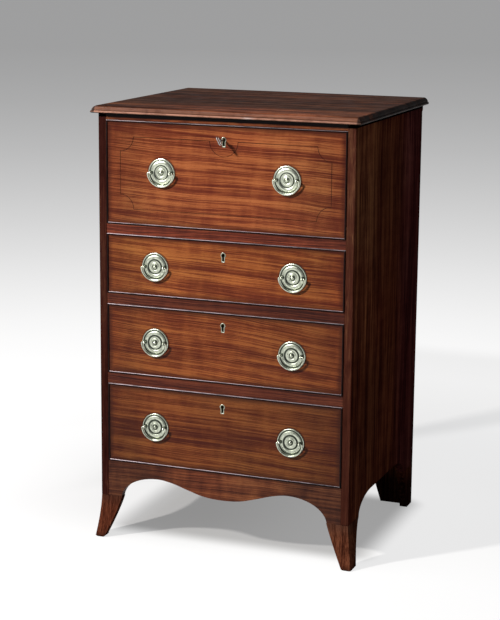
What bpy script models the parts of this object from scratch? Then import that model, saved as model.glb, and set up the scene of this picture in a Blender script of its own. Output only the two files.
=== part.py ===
"""Secretaire chest: a fall-front writing drawer over three long drawers on splayed feet.

The chest stands on Z 0, faces -Y and is centred on X 0.  All lengths are metres.
"""

import math

import bmesh
import bpy
from mathutils import Matrix, Vector

MM = 0.001

# Clearances
GAP = 0.3 * MM  # between pieces that touch on the real chest
FRONT_GAP = 1 * MM  # round a drawer front
FALL_GAP = 1.2 * MM  # above and below the fall
OVERRUN = 2 * MM  # how far a cutter runs past what it cuts
WELD = 0.005 * MM

# Overall size
HEIGHT = 1000 * MM
CARCASE_WIDTH = 600 * MM
CARCASE_DEPTH = 512 * MM

# Carcase boards
SIDE_THICK = 18 * MM
BACK_THICK = 10 * MM
BOTTOM_THICK = 18 * MM
APRON_THICK = 18 * MM
RAIL_DEPTH = 60 * MM
RUNNER_WIDTH = 50 * MM
RUNNER_THICK = 16 * MM
DUST_BOARD_THICK = 8 * MM
STOP_WIDTH = 40 * MM
STOP_DEPTH = 20 * MM
STOP_HEIGHT = 6 * MM
STOP_SPACING = 180 * MM
GLUE_BLOCK_WIDTH = 14 * MM
GLUE_BLOCK_DROP = 20 * MM  # below the top of the foot

# Top board and its moulded edge
TOP_THICK = 16 * MM
TOP_OVERHANG = 14 * MM
TOP_REAR_OVERHANG = 5 * MM
TOP_FLAT_INSET = 10.5 * MM
TOP_BEAD_RADIUS = 3 * MM
TOP_GROOVE_DEPTH = 3.4 * MM
TOP_GROOVE_HEIGHT = 0.7 * MM
TOP_OVOLO_INSET = 2.2 * MM  # of the ovolo's foot
TOP_OVOLO_BULGE = 1 * MM
BATTEN_HEIGHT = 16 * MM
BATTEN_CHAMFER = 3 * MM

# Front, from the top down
TOP_RAIL_HEIGHT = 14 * MM
RAIL_HEIGHTS = (20.5 * MM, 23 * MM, 23.5 * MM)
# The height that the rails leave, shared out from the fall down
OPENING_SHARES = (234, 138, 162, 185)

# Apron and the arches between the feet
APRON_HEIGHT = 84 * MM  # from the foot's top up to the lowest opening
APRON_CENTRE_DROP = 62.5 * MM  # from the lowest opening down to the edge's middle
APRON_CREST_DROP = 32 * MM
APRON_CREST_X = 158 * MM
APRON_ARCH_DROP = 89 * MM
# Lower edge from the middle to the crest: share of the crest's X, share of the rise
APRON_EDGE_SHARES = ((0, 0), (0.27, 0.1), (0.52, 0.44), (0.77, 0.83), (1, 1))
SIDE_ARCH_RISE = 40 * MM  # above the foot's top
SIDE_ARCH_RUN = 89 * MM  # length of the quarter ellipse at each end of the side's arch

# Feet
FOOT_HEIGHT = 100 * MM
FOOT_THICK = 18 * MM
FOOT_SPLAY = 13 * MM
FOOT_SPLAY_POWER = 1.5  # how late down the foot the splay comes
FOOT_FRONT_TOP_WIDTH = 51.4 * MM
FOOT_FRONT_TOE_WIDTH = 23 * MM
FOOT_SIDE_TOP_WIDTH = 77 * MM
FOOT_SIDE_TOE_WIDTH = 35 * MM
FOOT_REAR_TOP_WIDTH = 79 * MM
FOOT_REAR_TOE_WIDTH = 40 * MM
FOOT_SIDE_POWER = 0.77  # how early down the foot its side narrows
FOOT_TOE_RADIUS = 4 * MM
FOOT_TOE_ROUNDING = 2.5 * MM  # worn off the front toes at the floor
FOOT_TOP_RADIUS = 0.6 * MM
BRACKET_TOE_WIDTH = 74 * MM  # across the back, at the floor
BRACKET_TOP_WIDTH = 106.5 * MM  # across the back, at the foot's top

# Cockbead
BEAD_WIDTH = 3.2 * MM
BEAD_PROUD = 2.2 * MM
BEAD_DEPTH = 7.2 * MM
BEAD_NOSE = 1.4 * MM

# Long drawers
DRAWER_FRONT_THICK = 18 * MM
DRAWER_SIDE_THICK = 9 * MM
DRAWER_BACK_THICK = 8 * MM
DRAWER_BOTTOM_THICK = 6 * MM
DRAWER_BOTTOM_RISE = 9 * MM
DRAWER_TOP_CLEARANCE = 4 * MM
DRAWER_REAR_CLEARANCE = 12 * MM

# Secretaire drawer
DESK_SIDE_THICK = 12 * MM
DESK_BACK_THICK = 12 * MM
DESK_FLOOR_THICK = 8 * MM
DESK_SIDE_TOP_CLEARANCE = 10 * MM
DESK_BACK_TOP_CLEARANCE = 12 * MM
FALL_THICK = 18 * MM
PIVOT_SETBACK = 4.2 * MM  # from the fall's front face back to the pivot
PIVOT_RISE = 24 * MM  # from the fall's lower edge up to the pivot
PIVOT_SWEEP = 1 * MM  # between the turned lower edge and what it passes
SIDE_SETBACK = 0.8 * MM  # from the fall's inner face back to the drawer side
PIN_RADIUS = 1.8 * MM
PIN_LENGTH = 8 * MM
PLATE_THICK = 1.6 * MM
PLATE_HALF_HEIGHT = 6 * MM
PLATE_ARM_HALF_HEIGHT = 3 * MM
PLATE_LENGTH = 60 * MM  # along the drawer side, behind the arm

# Quadrant stays
STAY_RADIUS = 120 * MM
STAY_WIDTH = 10 * MM
STAY_THICK = 2 * MM
STAY_SLOT_CLEARANCE = 0.7 * MM
STAY_MORTISE = 4 * MM
STAY_TAIL = math.radians(8.5)  # below the level of the pivot
STAY_SLOT_TAIL = math.radians(9.5)

# Pigeonholes
CASE_DEPTH = 200 * MM
CASE_WALL = 6 * MM
CASE_TOP_CLEARANCE = 18.7 * MM  # below the top rail
CASE_CENTRE_WIDTH = 110 * MM
INNER_DRAWER_HEIGHT = 50 * MM
INNER_DRAWER_WALL = 5 * MM
INNER_DRAWER_CLEARANCE = 0.5 * MM
KNOB_RADIUS = 6 * MM
KNOB_LENGTH = 12 * MM
# Knob profile, from the tip down: share of the radius, share of the length
KNOB_SHARES = ((0, 1), (0.75, 0.92), (1, 0.74), (0.8, 0.56), (0.4, 0.44), (0.4, 0), (0, 0))

# Handles: a turned plate, two ball posts and a bail
PLATE_RADIUS = 31.5 * MM
PLATE_RELIEF = 3.1 * MM
BOSS_HEIGHT = 7 * MM
# Plate profile, from the boss out: share of the radius, share of the relief
PLATE_SHARES = (
    (0.165, 0.85), (0.47, 0.78), (0.505, 0.42), (0.67, 1), (0.86, 0.42), (0.945, 0.74), (1, 0.45)
)
BOSS_SHARE = 0.12
BOSS_SHOULDER_SHARE = 0.8  # of the boss's height, at its rim
POST_SPACING = 47 * MM
POST_RADIUS = 2 * MM
POST_BALL_RADIUS = 3.5 * MM
POST_HEIGHT = 10.7 * MM
BAIL_RADIUS = 29.8 * MM
BAIL_DROP = 30.6 * MM
BAIL_END_RADIUS = 1.5 * MM
BAIL_MIDDLE_RADIUS = 2.2 * MM
BAIL_PINTLE_RADIUS = 1 * MM
BAIL_PINTLE_DEPTH = 2 * MM  # into the ball
BAIL_SHOULDER = 1.2 * MM
FALL_HANDLE_X = 147 * MM
DRAWER_HANDLE_X = 163 * MM
FALL_HANDLE_DROP = 112 * MM  # from the top of the fall's opening

# Locks, escutcheons and the key
KEYHOLE_RADIUS = 4.2 * MM
KEYHOLE_SLOT = 4.4 * MM
KEYHOLE_DROP = 14 * MM
ESCUTCHEON_WALL = 1.8 * MM
ESCUTCHEON_PROUD = 0.4 * MM
FALL_LOCK_DROP = 32.5 * MM  # from the opening's top to the keyhole
DRAWER_LOCK_DROPS = (31.5 * MM, 28.5 * MM, 29 * MM)
LOCK_WIDTH = 60 * MM
LOCK_HEIGHT = 52 * MM
LOCK_THICK = 10 * MM
LOCK_CHAMBER_RADIUS = 10 * MM
LOCK_PLATE_THICK = 2 * MM
BOLT_WIDTH = 20 * MM
BOLT_THICK = 4 * MM
BOLT_HEIGHT = 12 * MM
BOLT_CLEARANCE = 0.4 * MM
BOLT_TRAVEL = 7 * MM
BOLT_END_CLEARANCE = 1 * MM  # above the thrown bolt, in the top rail
KEY_REACH = 30 * MM  # from the fall's face to the bow's end
KEY_SHANK_RADIUS = 2.4 * MM
KEY_BOW_HEIGHT = 22 * MM
KEY_BOW_DEPTH = 17 * MM
KEY_BOW_WIRE = 1.7 * MM
KEY_BOW_WAIST_SHARE = 0.32  # how far the bow's end dips in at its middle
KEY_BOW_WAIST_POWER = 6  # how narrow that dip is
KEY_BOW_LEAN = math.radians(28)  # its top's lean to the left
KEY_COLLAR_RADIUS = 3.6 * MM
KEY_COLLAR_LENGTH = 3 * MM
KEY_BIT_THICK = 2 * MM
KEY_BIT_DROP = 8 * MM
KEY_BIT_LENGTH = 4 * MM

# Facets
ROUND_STEPS = 20
SMALL_STEPS = 10
ARC_STEPS = 12
BAIL_STEPS = 14

# Places worked out from the sizes above
HALF_WIDTH = CARCASE_WIDTH / 2
OPENING_HALF = HALF_WIDTH - SIDE_THICK
BOARD_HALF = OPENING_HALF - GAP
FRONT_HALF = OPENING_HALF - FRONT_GAP
FRONT_Y = KEY_REACH - (KEY_REACH + CARCASE_DEPTH + TOP_REAR_OVERHANG) / 2
BACK_Y = FRONT_Y + CARCASE_DEPTH
BACK_FACE_Y = BACK_Y - BACK_THICK
TOP_UNDERSIDE = HEIGHT - TOP_THICK
FALL_OPENING_TOP = TOP_UNDERSIDE - TOP_RAIL_HEIGHT
BASE_Z = FOOT_HEIGHT + APRON_HEIGHT
BOTTOM_UNDERSIDE = BASE_Z - BOTTOM_THICK
DRAWER_REAR_Y = BACK_FACE_Y - DRAWER_REAR_CLEARANCE


def front_levels():
    """Return the bottom and top of each opening, from the fall's down."""
    free = FALL_OPENING_TOP - BASE_Z - sum(RAIL_HEIGHTS)
    levels = []
    top = FALL_OPENING_TOP
    for share, rail in zip(OPENING_SHARES, (*RAIL_HEIGHTS, 0)):
        foot = top - free * share / sum(OPENING_SHARES)
        levels.append((foot, top))
        top = foot - rail
    return levels


LEVELS = front_levels()

# Fall and its pivot
FALL_BOTTOM_Z = LEVELS[0][0] + FALL_GAP
FALL_TOP_Z = FALL_OPENING_TOP - FALL_GAP
FALL_BACK_Y = FRONT_Y + FALL_THICK
PIVOT_Y = FRONT_Y + PIVOT_SETBACK
PIVOT_Z = FALL_BOTTOM_Z + PIVOT_RISE
DESK_TOP_Z = PIVOT_Z + FALL_THICK - PIVOT_SETBACK
DESK_INNER_HALF = FRONT_HALF - DESK_SIDE_THICK
SWEEP_RADIUS = PIVOT_RISE + PIVOT_SWEEP


# Scene, materials and modelling helpers


def clear_scene():
    """Remove whatever the file held."""
    for item in list(bpy.data.objects):
        bpy.data.objects.remove(item, do_unlink=True)
    for mesh in list(bpy.data.meshes):
        bpy.data.meshes.remove(mesh)


def new_collection(name):
    """Add a collection to the scene."""
    collection = bpy.data.collections.new(name)
    bpy.context.scene.collection.children.link(collection)
    return collection


def new_finish(name, colour, roughness, metallic=0.0):
    """Make a Principled material."""
    finish = bpy.data.materials.new(name)
    finish.use_nodes = True
    shader = finish.node_tree.nodes["Principled BSDF"]
    shader.inputs["Base Color"].default_value = (*colour, 1)
    shader.inputs["Roughness"].default_value = roughness
    shader.inputs["Metallic"].default_value = metallic
    return finish


clear_scene()
CHEST = new_collection("Secretaire_Chest")
CUTTERS = new_collection("Cutters")
FRONT_WOOD = new_finish("mahogany_front", (0.24, 0.06, 0.02), 0.28)
RAIL_WOOD = new_finish("mahogany_rail", (0.15, 0.035, 0.015), 0.3)
SIDE_WOOD = new_finish("mahogany_side", (0.07, 0.02, 0.012), 0.3)
TOP_WOOD = new_finish("mahogany_top", (0.2, 0.075, 0.035), 0.25)
APRON_WOOD = new_finish("mahogany_apron", (0.3, 0.1, 0.035), 0.3)
BEAD_WOOD = new_finish("cockbead", (0.03, 0.012, 0.01), 0.3)
OAK = new_finish("oak_lining", (0.36, 0.22, 0.11), 0.6)
PINE = new_finish("pine_carcase", (0.3, 0.17, 0.08), 0.7)
BRASS = new_finish("gilt_brass", (0.6, 0.5, 0.27), 0.35, 1.0)
STEEL = new_finish("lock_steel", (0.3, 0.29, 0.27), 0.4, 1.0)


def place(item, parent):
    """Parent an object and keep it where it is in the world."""
    if parent is not None:
        item.parent = parent
        item.matrix_parent_inverse = parent.matrix_world.inverted()


def new_pivot(name, location, parent=None):
    """Add the empty that a moving body hangs from, on its joint's axis."""
    empty = bpy.data.objects.new(name, None)
    empty.empty_display_size = SIDE_THICK
    CHEST.objects.link(empty)
    empty.location = location
    place(empty, parent)
    bpy.context.view_layer.update()
    return empty


def new_piece(name, mesh, finish, location=(0, 0, 0), parent=None):
    """Add a named piece made of a mesh."""
    mesh.name = name
    if not mesh.materials:
        mesh.materials.append(finish)
    piece = bpy.data.objects.new(name, mesh)
    CHEST.objects.link(piece)
    piece.location = location
    place(piece, parent)
    return piece


def new_cutter(name, mesh, location=(0, 0, 0)):
    """Add a cutter, which is no piece of the chest."""
    cutter = bpy.data.objects.new(name, mesh)
    cutter.hide_render = True
    cutter.display_type = "WIRE"
    cutter.location = location
    CUTTERS.objects.link(cutter)
    return cutter


def cut(piece, cutter, operation="DIFFERENCE"):
    """Cut a piece, or join another shape to it, with a Boolean modifier."""
    modifier = piece.modifiers.new(cutter.name, "BOOLEAN")
    modifier.operation = operation
    modifier.solver = "EXACT"
    modifier.object = cutter


def evaluated_mesh(data, name, modifiers=()):
    """Return the mesh that an object of this data makes, welded and facing out."""
    holder = bpy.data.objects.new(name, data)
    bpy.context.scene.collection.objects.link(holder)
    for kind, settings in modifiers:
        modifier = holder.modifiers.new(kind, kind)
        for key, value in settings.items():
            setattr(modifier, key, value)
    graph = bpy.context.evaluated_depsgraph_get()
    mesh = bpy.data.meshes.new_from_object(holder.evaluated_get(graph))
    bpy.data.objects.remove(holder, do_unlink=True)
    shape = bmesh.new()
    shape.from_mesh(mesh)
    bmesh.ops.remove_doubles(shape, verts=shape.verts, dist=WELD)
    bmesh.ops.recalc_face_normals(shape, faces=shape.faces)
    shape.to_mesh(mesh)
    shape.free()
    return mesh


def mesh_from(shape, name):
    """Turn a bmesh into a mesh whose faces point out."""
    bmesh.ops.recalc_face_normals(shape, faces=shape.faces)
    mesh = bpy.data.meshes.new(name)
    shape.to_mesh(mesh)
    shape.free()
    return mesh


def add_block(shape, spans):
    """Add a box to a bmesh; spans are its low and high on X, Y and Z."""
    middle = [(low + high) / 2 for low, high in spans]
    size = [high - low for low, high in spans]
    matrix = Matrix.Translation(middle) @ Matrix.Diagonal((*size, 1))
    bmesh.ops.create_cube(shape, size=1, matrix=matrix)


def block_mesh(name, blocks):
    """Return a mesh of one box or of several that stand apart."""
    shape = bmesh.new()
    for spans in blocks:
        add_block(shape, spans)
    return mesh_from(shape, name)


def board(name, spans, finish, parent=None):
    """Add a board, placed by its centre."""
    middle = Vector([(low + high) / 2 for low, high in spans])
    local = [(low - centre, high - centre) for (low, high), centre in zip(spans, middle)]
    return new_piece(name, block_mesh(name, [local]), finish, middle, parent)


def block_cutter(name, spans):
    """Add a box that cuts, or that is joined to a piece."""
    return new_cutter(name, block_mesh(name, [spans]))


def join_block(piece, name, spans):
    """Join a glued block to a piece."""
    cut(piece, block_cutter(f"{piece.name}_{name}", spans), "UNION")


def unmoved(span):
    """Return a span as it is."""
    return span


def mirrored(span):
    """Return the same span on the other side of X 0."""
    return (-span[1], -span[0])


SIDES = (("right", unmoved), ("left", mirrored))


PLANES = {
    "YZ": Matrix(((0, 0, 1), (1, 0, 0), (0, 1, 0))).to_4x4(),
    "XZ": Matrix(((1, 0, 0), (0, 0, -1), (0, 1, 0))).to_4x4(),
}


def prism_mesh(name, outlines, plane, span):
    """Extrude flat outlines across a span: YZ outlines along X, XZ outlines along Y."""
    curve = bpy.data.curves.new(name, "CURVE")
    curve.dimensions = "2D"
    curve.fill_mode = "BOTH"
    curve.extrude = (span[1] - span[0]) / 2
    for outline in outlines:
        spline = curve.splines.new("POLY")
        spline.points.add(len(outline) - 1)
        for point, (across, up) in zip(spline.points, outline):
            point.co = (across, up, 0, 1)
        spline.use_cyclic_u = True
    mesh = evaluated_mesh(curve, name)
    bpy.data.curves.remove(curve)
    middle = (span[0] + span[1]) / 2
    shift = Vector((middle, 0, 0)) if plane == "YZ" else Vector((0, middle, 0))
    mesh.transform(Matrix.Translation(shift) @ PLANES[plane])
    return mesh


def turned_mesh(name, profile, steps):
    """Turn a profile of radius and height, listed from the top down, about Z."""
    mesh = bpy.data.meshes.new(name)
    links = [(index, index + 1) for index in range(len(profile) - 1)]
    mesh.from_pydata([(radius, 0, height) for radius, height in profile], links, [])
    screw = {
        "axis": "Z",
        "steps": steps,
        "render_steps": steps,
        "use_merge_vertices": True,
        "merge_threshold": WELD,
    }
    return evaluated_mesh(mesh, name, [("SCREW", screw)])


def tube_mesh(name, points, radii, cyclic=False):
    """Return a tube along points, with a radius at each."""
    widest = max(radii)
    curve = bpy.data.curves.new(name, "CURVE")
    curve.dimensions = "3D"
    curve.bevel_depth = widest
    curve.bevel_resolution = 2
    curve.use_fill_caps = True
    spline = curve.splines.new("POLY")
    spline.points.add(len(points) - 1)
    for point, where, radius in zip(spline.points, points, radii):
        point.co = (*where, 1)
        point.radius = radius / widest
    spline.use_cyclic_u = cyclic
    mesh = evaluated_mesh(curve, name)
    bpy.data.curves.remove(curve)
    return mesh


def rod_mesh(name, radius, start, end, steps=SMALL_STEPS):
    """Return a round rod from one point to another."""
    start, end = Vector(start), Vector(end)
    turn = (end - start).to_track_quat("Z", "Y").to_matrix().to_4x4()
    shape = bmesh.new()
    bmesh.ops.create_cone(
        shape, cap_ends=True, segments=steps, radius1=radius, radius2=radius,
        depth=(end - start).length, matrix=Matrix.Translation((start + end) / 2) @ turn,
    )
    return mesh_from(shape, name)


def stack_mesh(name, rings):
    """Extrude a rectangle through rings of (X span, Y span, Z), each a new size."""
    shape = bmesh.new()
    bmesh.ops.create_grid(shape, x_segments=1, y_segments=1, size=1)
    moving = list(shape.verts)
    for index, (x_span, y_span, height) in enumerate(rings):
        if index:
            top = [face for face in shape.faces if all(vert in moving for vert in face.verts)]
            grown = bmesh.ops.extrude_face_region(shape, geom=top)["geom"]
            moving = [part for part in grown if isinstance(part, bmesh.types.BMVert)]
            if index > 1:
                bmesh.ops.delete(shape, geom=top, context="FACES_ONLY")
        middle_x = sum(vert.co.x for vert in moving) / len(moving)
        middle_y = sum(vert.co.y for vert in moving) / len(moving)
        for vert in moving:
            x = x_span[1] if vert.co.x > middle_x else x_span[0]
            y = y_span[1] if vert.co.y > middle_y else y_span[0]
            vert.co = (x, y, height)
    return mesh_from(shape, name)


def loft_mesh(name, sections):
    """Skin sections of as many points each, and close both ends."""
    shape = bmesh.new()
    rows = [[shape.verts.new(point) for point in section] for section in sections]
    for lower, upper in zip(rows, rows[1:]):
        for index, vert in enumerate(lower):
            after = (index + 1) % len(lower)
            shape.faces.new((vert, lower[after], upper[after], upper[index]))
    shape.faces.new(rows[0])
    shape.faces.new(rows[-1])
    return mesh_from(shape, name)


def arc(centre, radii, start, end, steps):
    """Return points on an ellipse's arc between two angles."""
    points = []
    for index in range(steps + 1):
        angle = start + (end - start) * index / steps
        across = centre[0] + radii[0] * math.cos(angle)
        points.append((across, centre[1] + radii[1] * math.sin(angle)))
    return points


def smooth_run(points, steps):
    """Return a smooth line through points, with its ends level."""
    first, last = points[0], points[-1]
    before = (2 * first[0] - points[1][0], points[1][1])
    after = (2 * last[0] - points[-2][0], points[-2][1])
    padded = [before, *points, after]
    line = []
    for index in range(len(points) - 1):
        a, b, c, d = (Vector(point) for point in padded[index:index + 4])
        for step in range(steps):
            t = step / steps
            line.append(tuple(
                b + (c - a) / 2 * t
                + (a - b * 2.5 + c * 2 - d / 2) * t ** 2
                + (b * 1.5 - a / 2 - c * 1.5 + d / 2) * t ** 3
            ))
    return [*line, tuple(last)]


def reflected(outline):
    """Return an outline on the other side of the middle, in the same order of travel."""
    return [(-across, up) for across, up in reversed(outline)]


# Carcase


def top_edge():
    """Return inset and height along the top's moulded edge, from its underside up."""
    bead_z = TOP_UNDERSIDE + TOP_BEAD_RADIUS
    bead = arc((TOP_BEAD_RADIUS, bead_z), (-TOP_BEAD_RADIUS, TOP_BEAD_RADIUS),
               -math.pi / 2, math.pi / 2, ARC_STEPS // 2)
    groove_z = bead[-1][1] + GAP
    ovolo_z = groove_z + TOP_GROOVE_HEIGHT
    steps = ARC_STEPS // 2
    ovolo = []
    for step in range(steps + 1):
        share = step / steps
        bulge = TOP_OVOLO_BULGE * math.sin(math.pi * share)
        ovolo.append((TOP_OVOLO_INSET + (TOP_FLAT_INSET - TOP_OVOLO_INSET) * share - bulge,
                      ovolo_z + (HEIGHT - ovolo_z) * share + bulge))
    return [*bead, (TOP_GROOVE_DEPTH, groove_z), *ovolo]


def build_top():
    """Make the moulded top board, with the batten glued under its rear edge."""
    nose = HALF_WIDTH + TOP_OVERHANG
    rear = BACK_Y + TOP_REAR_OVERHANG
    rings = []
    for inset, height in top_edge():
        across = (inset - nose, nose - inset)
        rings.append((across, (FRONT_Y - TOP_OVERHANG + inset, rear), height))
    top = new_piece("top_board", stack_mesh("top_board", rings), TOP_WOOD)
    batten_front = BACK_Y + GAP
    batten_rear = rear - GAP
    batten_top = TOP_UNDERSIDE + TOP_BEAD_RADIUS
    batten_foot = TOP_UNDERSIDE - BATTEN_HEIGHT
    outline = [
        (batten_front, batten_top),
        (batten_front, batten_foot),
        (batten_rear - BATTEN_CHAMFER, batten_foot),
        (batten_rear, batten_foot + BATTEN_CHAMFER),
        (batten_rear, batten_top),
    ]
    mesh = prism_mesh("batten", [outline], "YZ", (-HALF_WIDTH, HALF_WIDTH))
    cut(top, new_cutter("rear_batten", mesh), "UNION")


def side_outline():
    """Return the side panel's outline, with the arch between the feet."""
    seat = FOOT_HEIGHT + GAP
    rise = SIDE_ARCH_RISE - GAP
    front_end = FRONT_Y + FOOT_SIDE_TOP_WIDTH
    rear_end = BACK_Y - FOOT_REAR_TOP_WIDTH
    front_arch = arc((front_end + SIDE_ARCH_RUN, seat), (SIDE_ARCH_RUN, rise),
                     math.pi, math.pi / 2, ARC_STEPS)
    rear_arch = arc((rear_end - SIDE_ARCH_RUN, seat), (SIDE_ARCH_RUN, rise),
                    math.pi / 2, 0, ARC_STEPS)
    top = TOP_UNDERSIDE - GAP
    corners = [(BACK_Y, seat), (BACK_Y, top), (FRONT_Y, top), (FRONT_Y, seat)]
    return [*front_arch, *rear_arch, *corners]


def apron_outline():
    """Return the apron's outline: a low centre, two crests and a quarter arch each side."""
    seat = FOOT_HEIGHT + GAP
    centre_z = BASE_Z - APRON_CENTRE_DROP
    crest_z = BASE_Z - APRON_CREST_DROP
    stations = [
        (across * APRON_CREST_X, centre_z + rise * (crest_z - centre_z))
        for across, rise in APRON_EDGE_SHARES
    ]
    middle_run = smooth_run(stations, ARC_STEPS // 2)
    bracket_x = HALF_WIDTH - FOOT_FRONT_TOP_WIDTH
    arch_z = BASE_Z - APRON_ARCH_DROP
    arch_run = (bracket_x - APRON_CREST_X) * (1 + GAP / SIDE_THICK)
    arch_end = math.asin(max(0, (seat - arch_z) / (crest_z - arch_z)))
    arch = arc((APRON_CREST_X, arch_z), (arch_run, crest_z - arch_z),
               math.pi / 2, arch_end, ARC_STEPS)
    right = [*middle_run, *arch[1:], (BOARD_HALF, seat), (BOARD_HALF, BASE_Z)]
    return [*right, *reflected(right)[:-1]]


def build_carcase_boards():
    """Make the sides, apron, bottom and back."""
    for where, turn in SIDES:
        name = f"side_{where}"
        span = turn((OPENING_HALF, HALF_WIDTH))
        new_piece(name, prism_mesh(name, [side_outline()], "YZ", span), SIDE_WOOD)
    apron = prism_mesh("apron", [apron_outline()], "XZ", (FRONT_Y, FRONT_Y + APRON_THICK))
    new_piece("apron", apron, APRON_WOOD)
    across = (-BOARD_HALF, BOARD_HALF)
    inside_y = (FRONT_Y + APRON_THICK + GAP, BACK_FACE_Y - GAP)
    bottom = board("bottom_board", (across, inside_y, (BOTTOM_UNDERSIDE, BASE_Z)), PINE)
    join_stops(bottom, BASE_Z)
    join_glue_blocks(bottom)
    back_span = (across, (BACK_FACE_Y, BACK_Y), (BOTTOM_UNDERSIDE, TOP_UNDERSIDE - GAP))
    board("back_panel", back_span, PINE)


def join_stops(carrier, floor_z):
    """Glue a pair of drawer stops to a rail or board, just behind the drawer front."""
    front_y = FRONT_Y + DRAWER_FRONT_THICK + GAP
    stop_x = ((STOP_SPACING - STOP_WIDTH) / 2, (STOP_SPACING + STOP_WIDTH) / 2)
    for where, turn in SIDES:
        spans = (turn(stop_x), (front_y, front_y + STOP_DEPTH),
                 (floor_z - STOP_HEIGHT, floor_z + STOP_HEIGHT))
        join_block(carrier, f"stop_{where}", spans)


def join_glue_blocks(bottom):
    """Glue a block under each corner of the bottom, inside the feet."""
    block_x = (BOARD_HALF - GLUE_BLOCK_WIDTH, BOARD_HALF - GAP)
    front_y = FRONT_Y + max(APRON_THICK, FOOT_THICK) + 2 * GAP
    rear_y = BACK_Y - FOOT_THICK - GAP
    block_z = (FOOT_HEIGHT - GLUE_BLOCK_DROP, BASE_Z - BOTTOM_THICK / 2)
    for end, block_y in (("front", (front_y, front_y + GLUE_BLOCK_WIDTH)),
                         ("rear", (rear_y - GLUE_BLOCK_WIDTH, rear_y))):
        for where, turn in SIDES:
            join_block(bottom, f"block_{end}_{where}", (turn(block_x), block_y, block_z))


def bearer_outline(rail_top):
    """Return a bearer's outline: a runner at each side and a thin dust board between."""
    runner_x = BOARD_HALF - RUNNER_WIDTH
    foot = rail_top - RUNNER_THICK
    board_top = rail_top - (RUNNER_THICK - DUST_BOARD_THICK) / 2
    board_foot = board_top - DUST_BOARD_THICK
    right = [(runner_x, board_foot), (runner_x, foot), (BOARD_HALF, foot),
             (BOARD_HALF, rail_top), (runner_x, rail_top), (runner_x, board_top)]
    return [*right, *reflected(right)]


def build_rails():
    """Make the top rail and the drawer rails, with their stops and bearers."""
    across = (-BOARD_HALF, BOARD_HALF)
    rail_y = (FRONT_Y, FRONT_Y + RAIL_DEPTH)
    inside_y = (rail_y[1] + GAP, BACK_FACE_Y - GAP)
    top_rail = board("top_rail", (across, rail_y, (FALL_OPENING_TOP, TOP_UNDERSIDE - GAP)),
                     RAIL_WOOD)
    cut(top_rail, block_cutter("bolt_mortise", bolt_mortise_span()))
    for index, height in enumerate(RAIL_HEIGHTS):
        rail_top = LEVELS[index][0]
        rail = board(f"drawer_rail_{index + 1}", (across, rail_y, (rail_top - height, rail_top)),
                     RAIL_WOOD)
        if index:
            join_stops(rail, rail_top)
        name = f"drawer_bearer_{index + 1}"
        mesh = prism_mesh(name, [bearer_outline(rail_top)], "XZ", inside_y)
        new_piece(name, mesh, OAK)


# Feet


def foot_width(drop, top_width, toe_width, power=1):
    """Return a leg's width at a share of the foot's height below its top."""
    return top_width - (top_width - toe_width) * drop ** power


def foot_section(height, splay, across_width, along_width, radius, towards):
    """Return an L section whose outer corner is rounded; towards is +1 for a rear foot."""
    corner_x = HALF_WIDTH + splay
    corner_y = (BACK_Y if towards > 0 else FRONT_Y) + towards * splay
    inner_x = corner_x - FOOT_THICK
    inner_y = corner_y - towards * FOOT_THICK
    round_x = corner_x - radius
    round_y = corner_y - towards * radius
    points = [
        (corner_x - across_width, inner_y),
        (corner_x - across_width, corner_y),
        *arc((round_x, round_y), (radius, towards * radius), math.pi / 2, 0, 2),
        (corner_x, corner_y - towards * along_width),
        (inner_x, corner_y - towards * along_width),
        (inner_x, inner_y),
    ]
    return [(x, y, height) for x, y in points]


def front_foot_sections():
    """Return the splayed front foot's sections from its top to the floor."""
    sections = []
    worn_drop = 1 - FOOT_TOE_ROUNDING / FOOT_HEIGHT
    for drop in (*(step / ARC_STEPS for step in range(ARC_STEPS)), worn_drop, 1):
        worn = FOOT_TOE_ROUNDING if drop == 1 else 0
        across_width = foot_width(drop, FOOT_FRONT_TOP_WIDTH, FOOT_FRONT_TOE_WIDTH)
        along_width = foot_width(drop, FOOT_SIDE_TOP_WIDTH, FOOT_SIDE_TOE_WIDTH,
                                 FOOT_SIDE_POWER)
        radius = FOOT_TOP_RADIUS + (FOOT_TOE_RADIUS - FOOT_TOP_RADIUS) * drop
        splay = FOOT_SPLAY * drop ** FOOT_SPLAY_POWER - worn
        sections.append(foot_section(FOOT_HEIGHT * (1 - drop), splay, across_width - 2 * worn,
                                     along_width - 2 * worn, radius, -1))
    return sections


def rear_foot_sections():
    """Return the upright rear foot's sections from its top to the floor."""
    sections = []
    for step in range(ARC_STEPS + 1):
        drop = step / ARC_STEPS
        across_width = foot_width(drop, BRACKET_TOP_WIDTH, BRACKET_TOE_WIDTH)
        along_width = foot_width(drop, FOOT_REAR_TOP_WIDTH, FOOT_REAR_TOE_WIDTH,
                                 FOOT_SIDE_POWER)
        sections.append(foot_section(FOOT_HEIGHT * (1 - drop), 0, across_width, along_width,
                                     FOOT_TOP_RADIUS, 1))
    return sections


def bracket_outline():
    """Return the rear bracket's outline, from inside the foot up to the bottom board."""
    foot_z = FOOT_HEIGHT - FOOT_THICK
    top_z = BOTTOM_UNDERSIDE - GAP
    slope = (BRACKET_TOP_WIDTH - BRACKET_TOE_WIDTH) / FOOT_HEIGHT
    inner = [(HALF_WIDTH - BRACKET_TOP_WIDTH - slope * (height - FOOT_HEIGHT) + GAP, height)
             for height in (foot_z, top_z)]
    return [(BOARD_HALF, top_z), (BOARD_HALF, foot_z), *inner]


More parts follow.
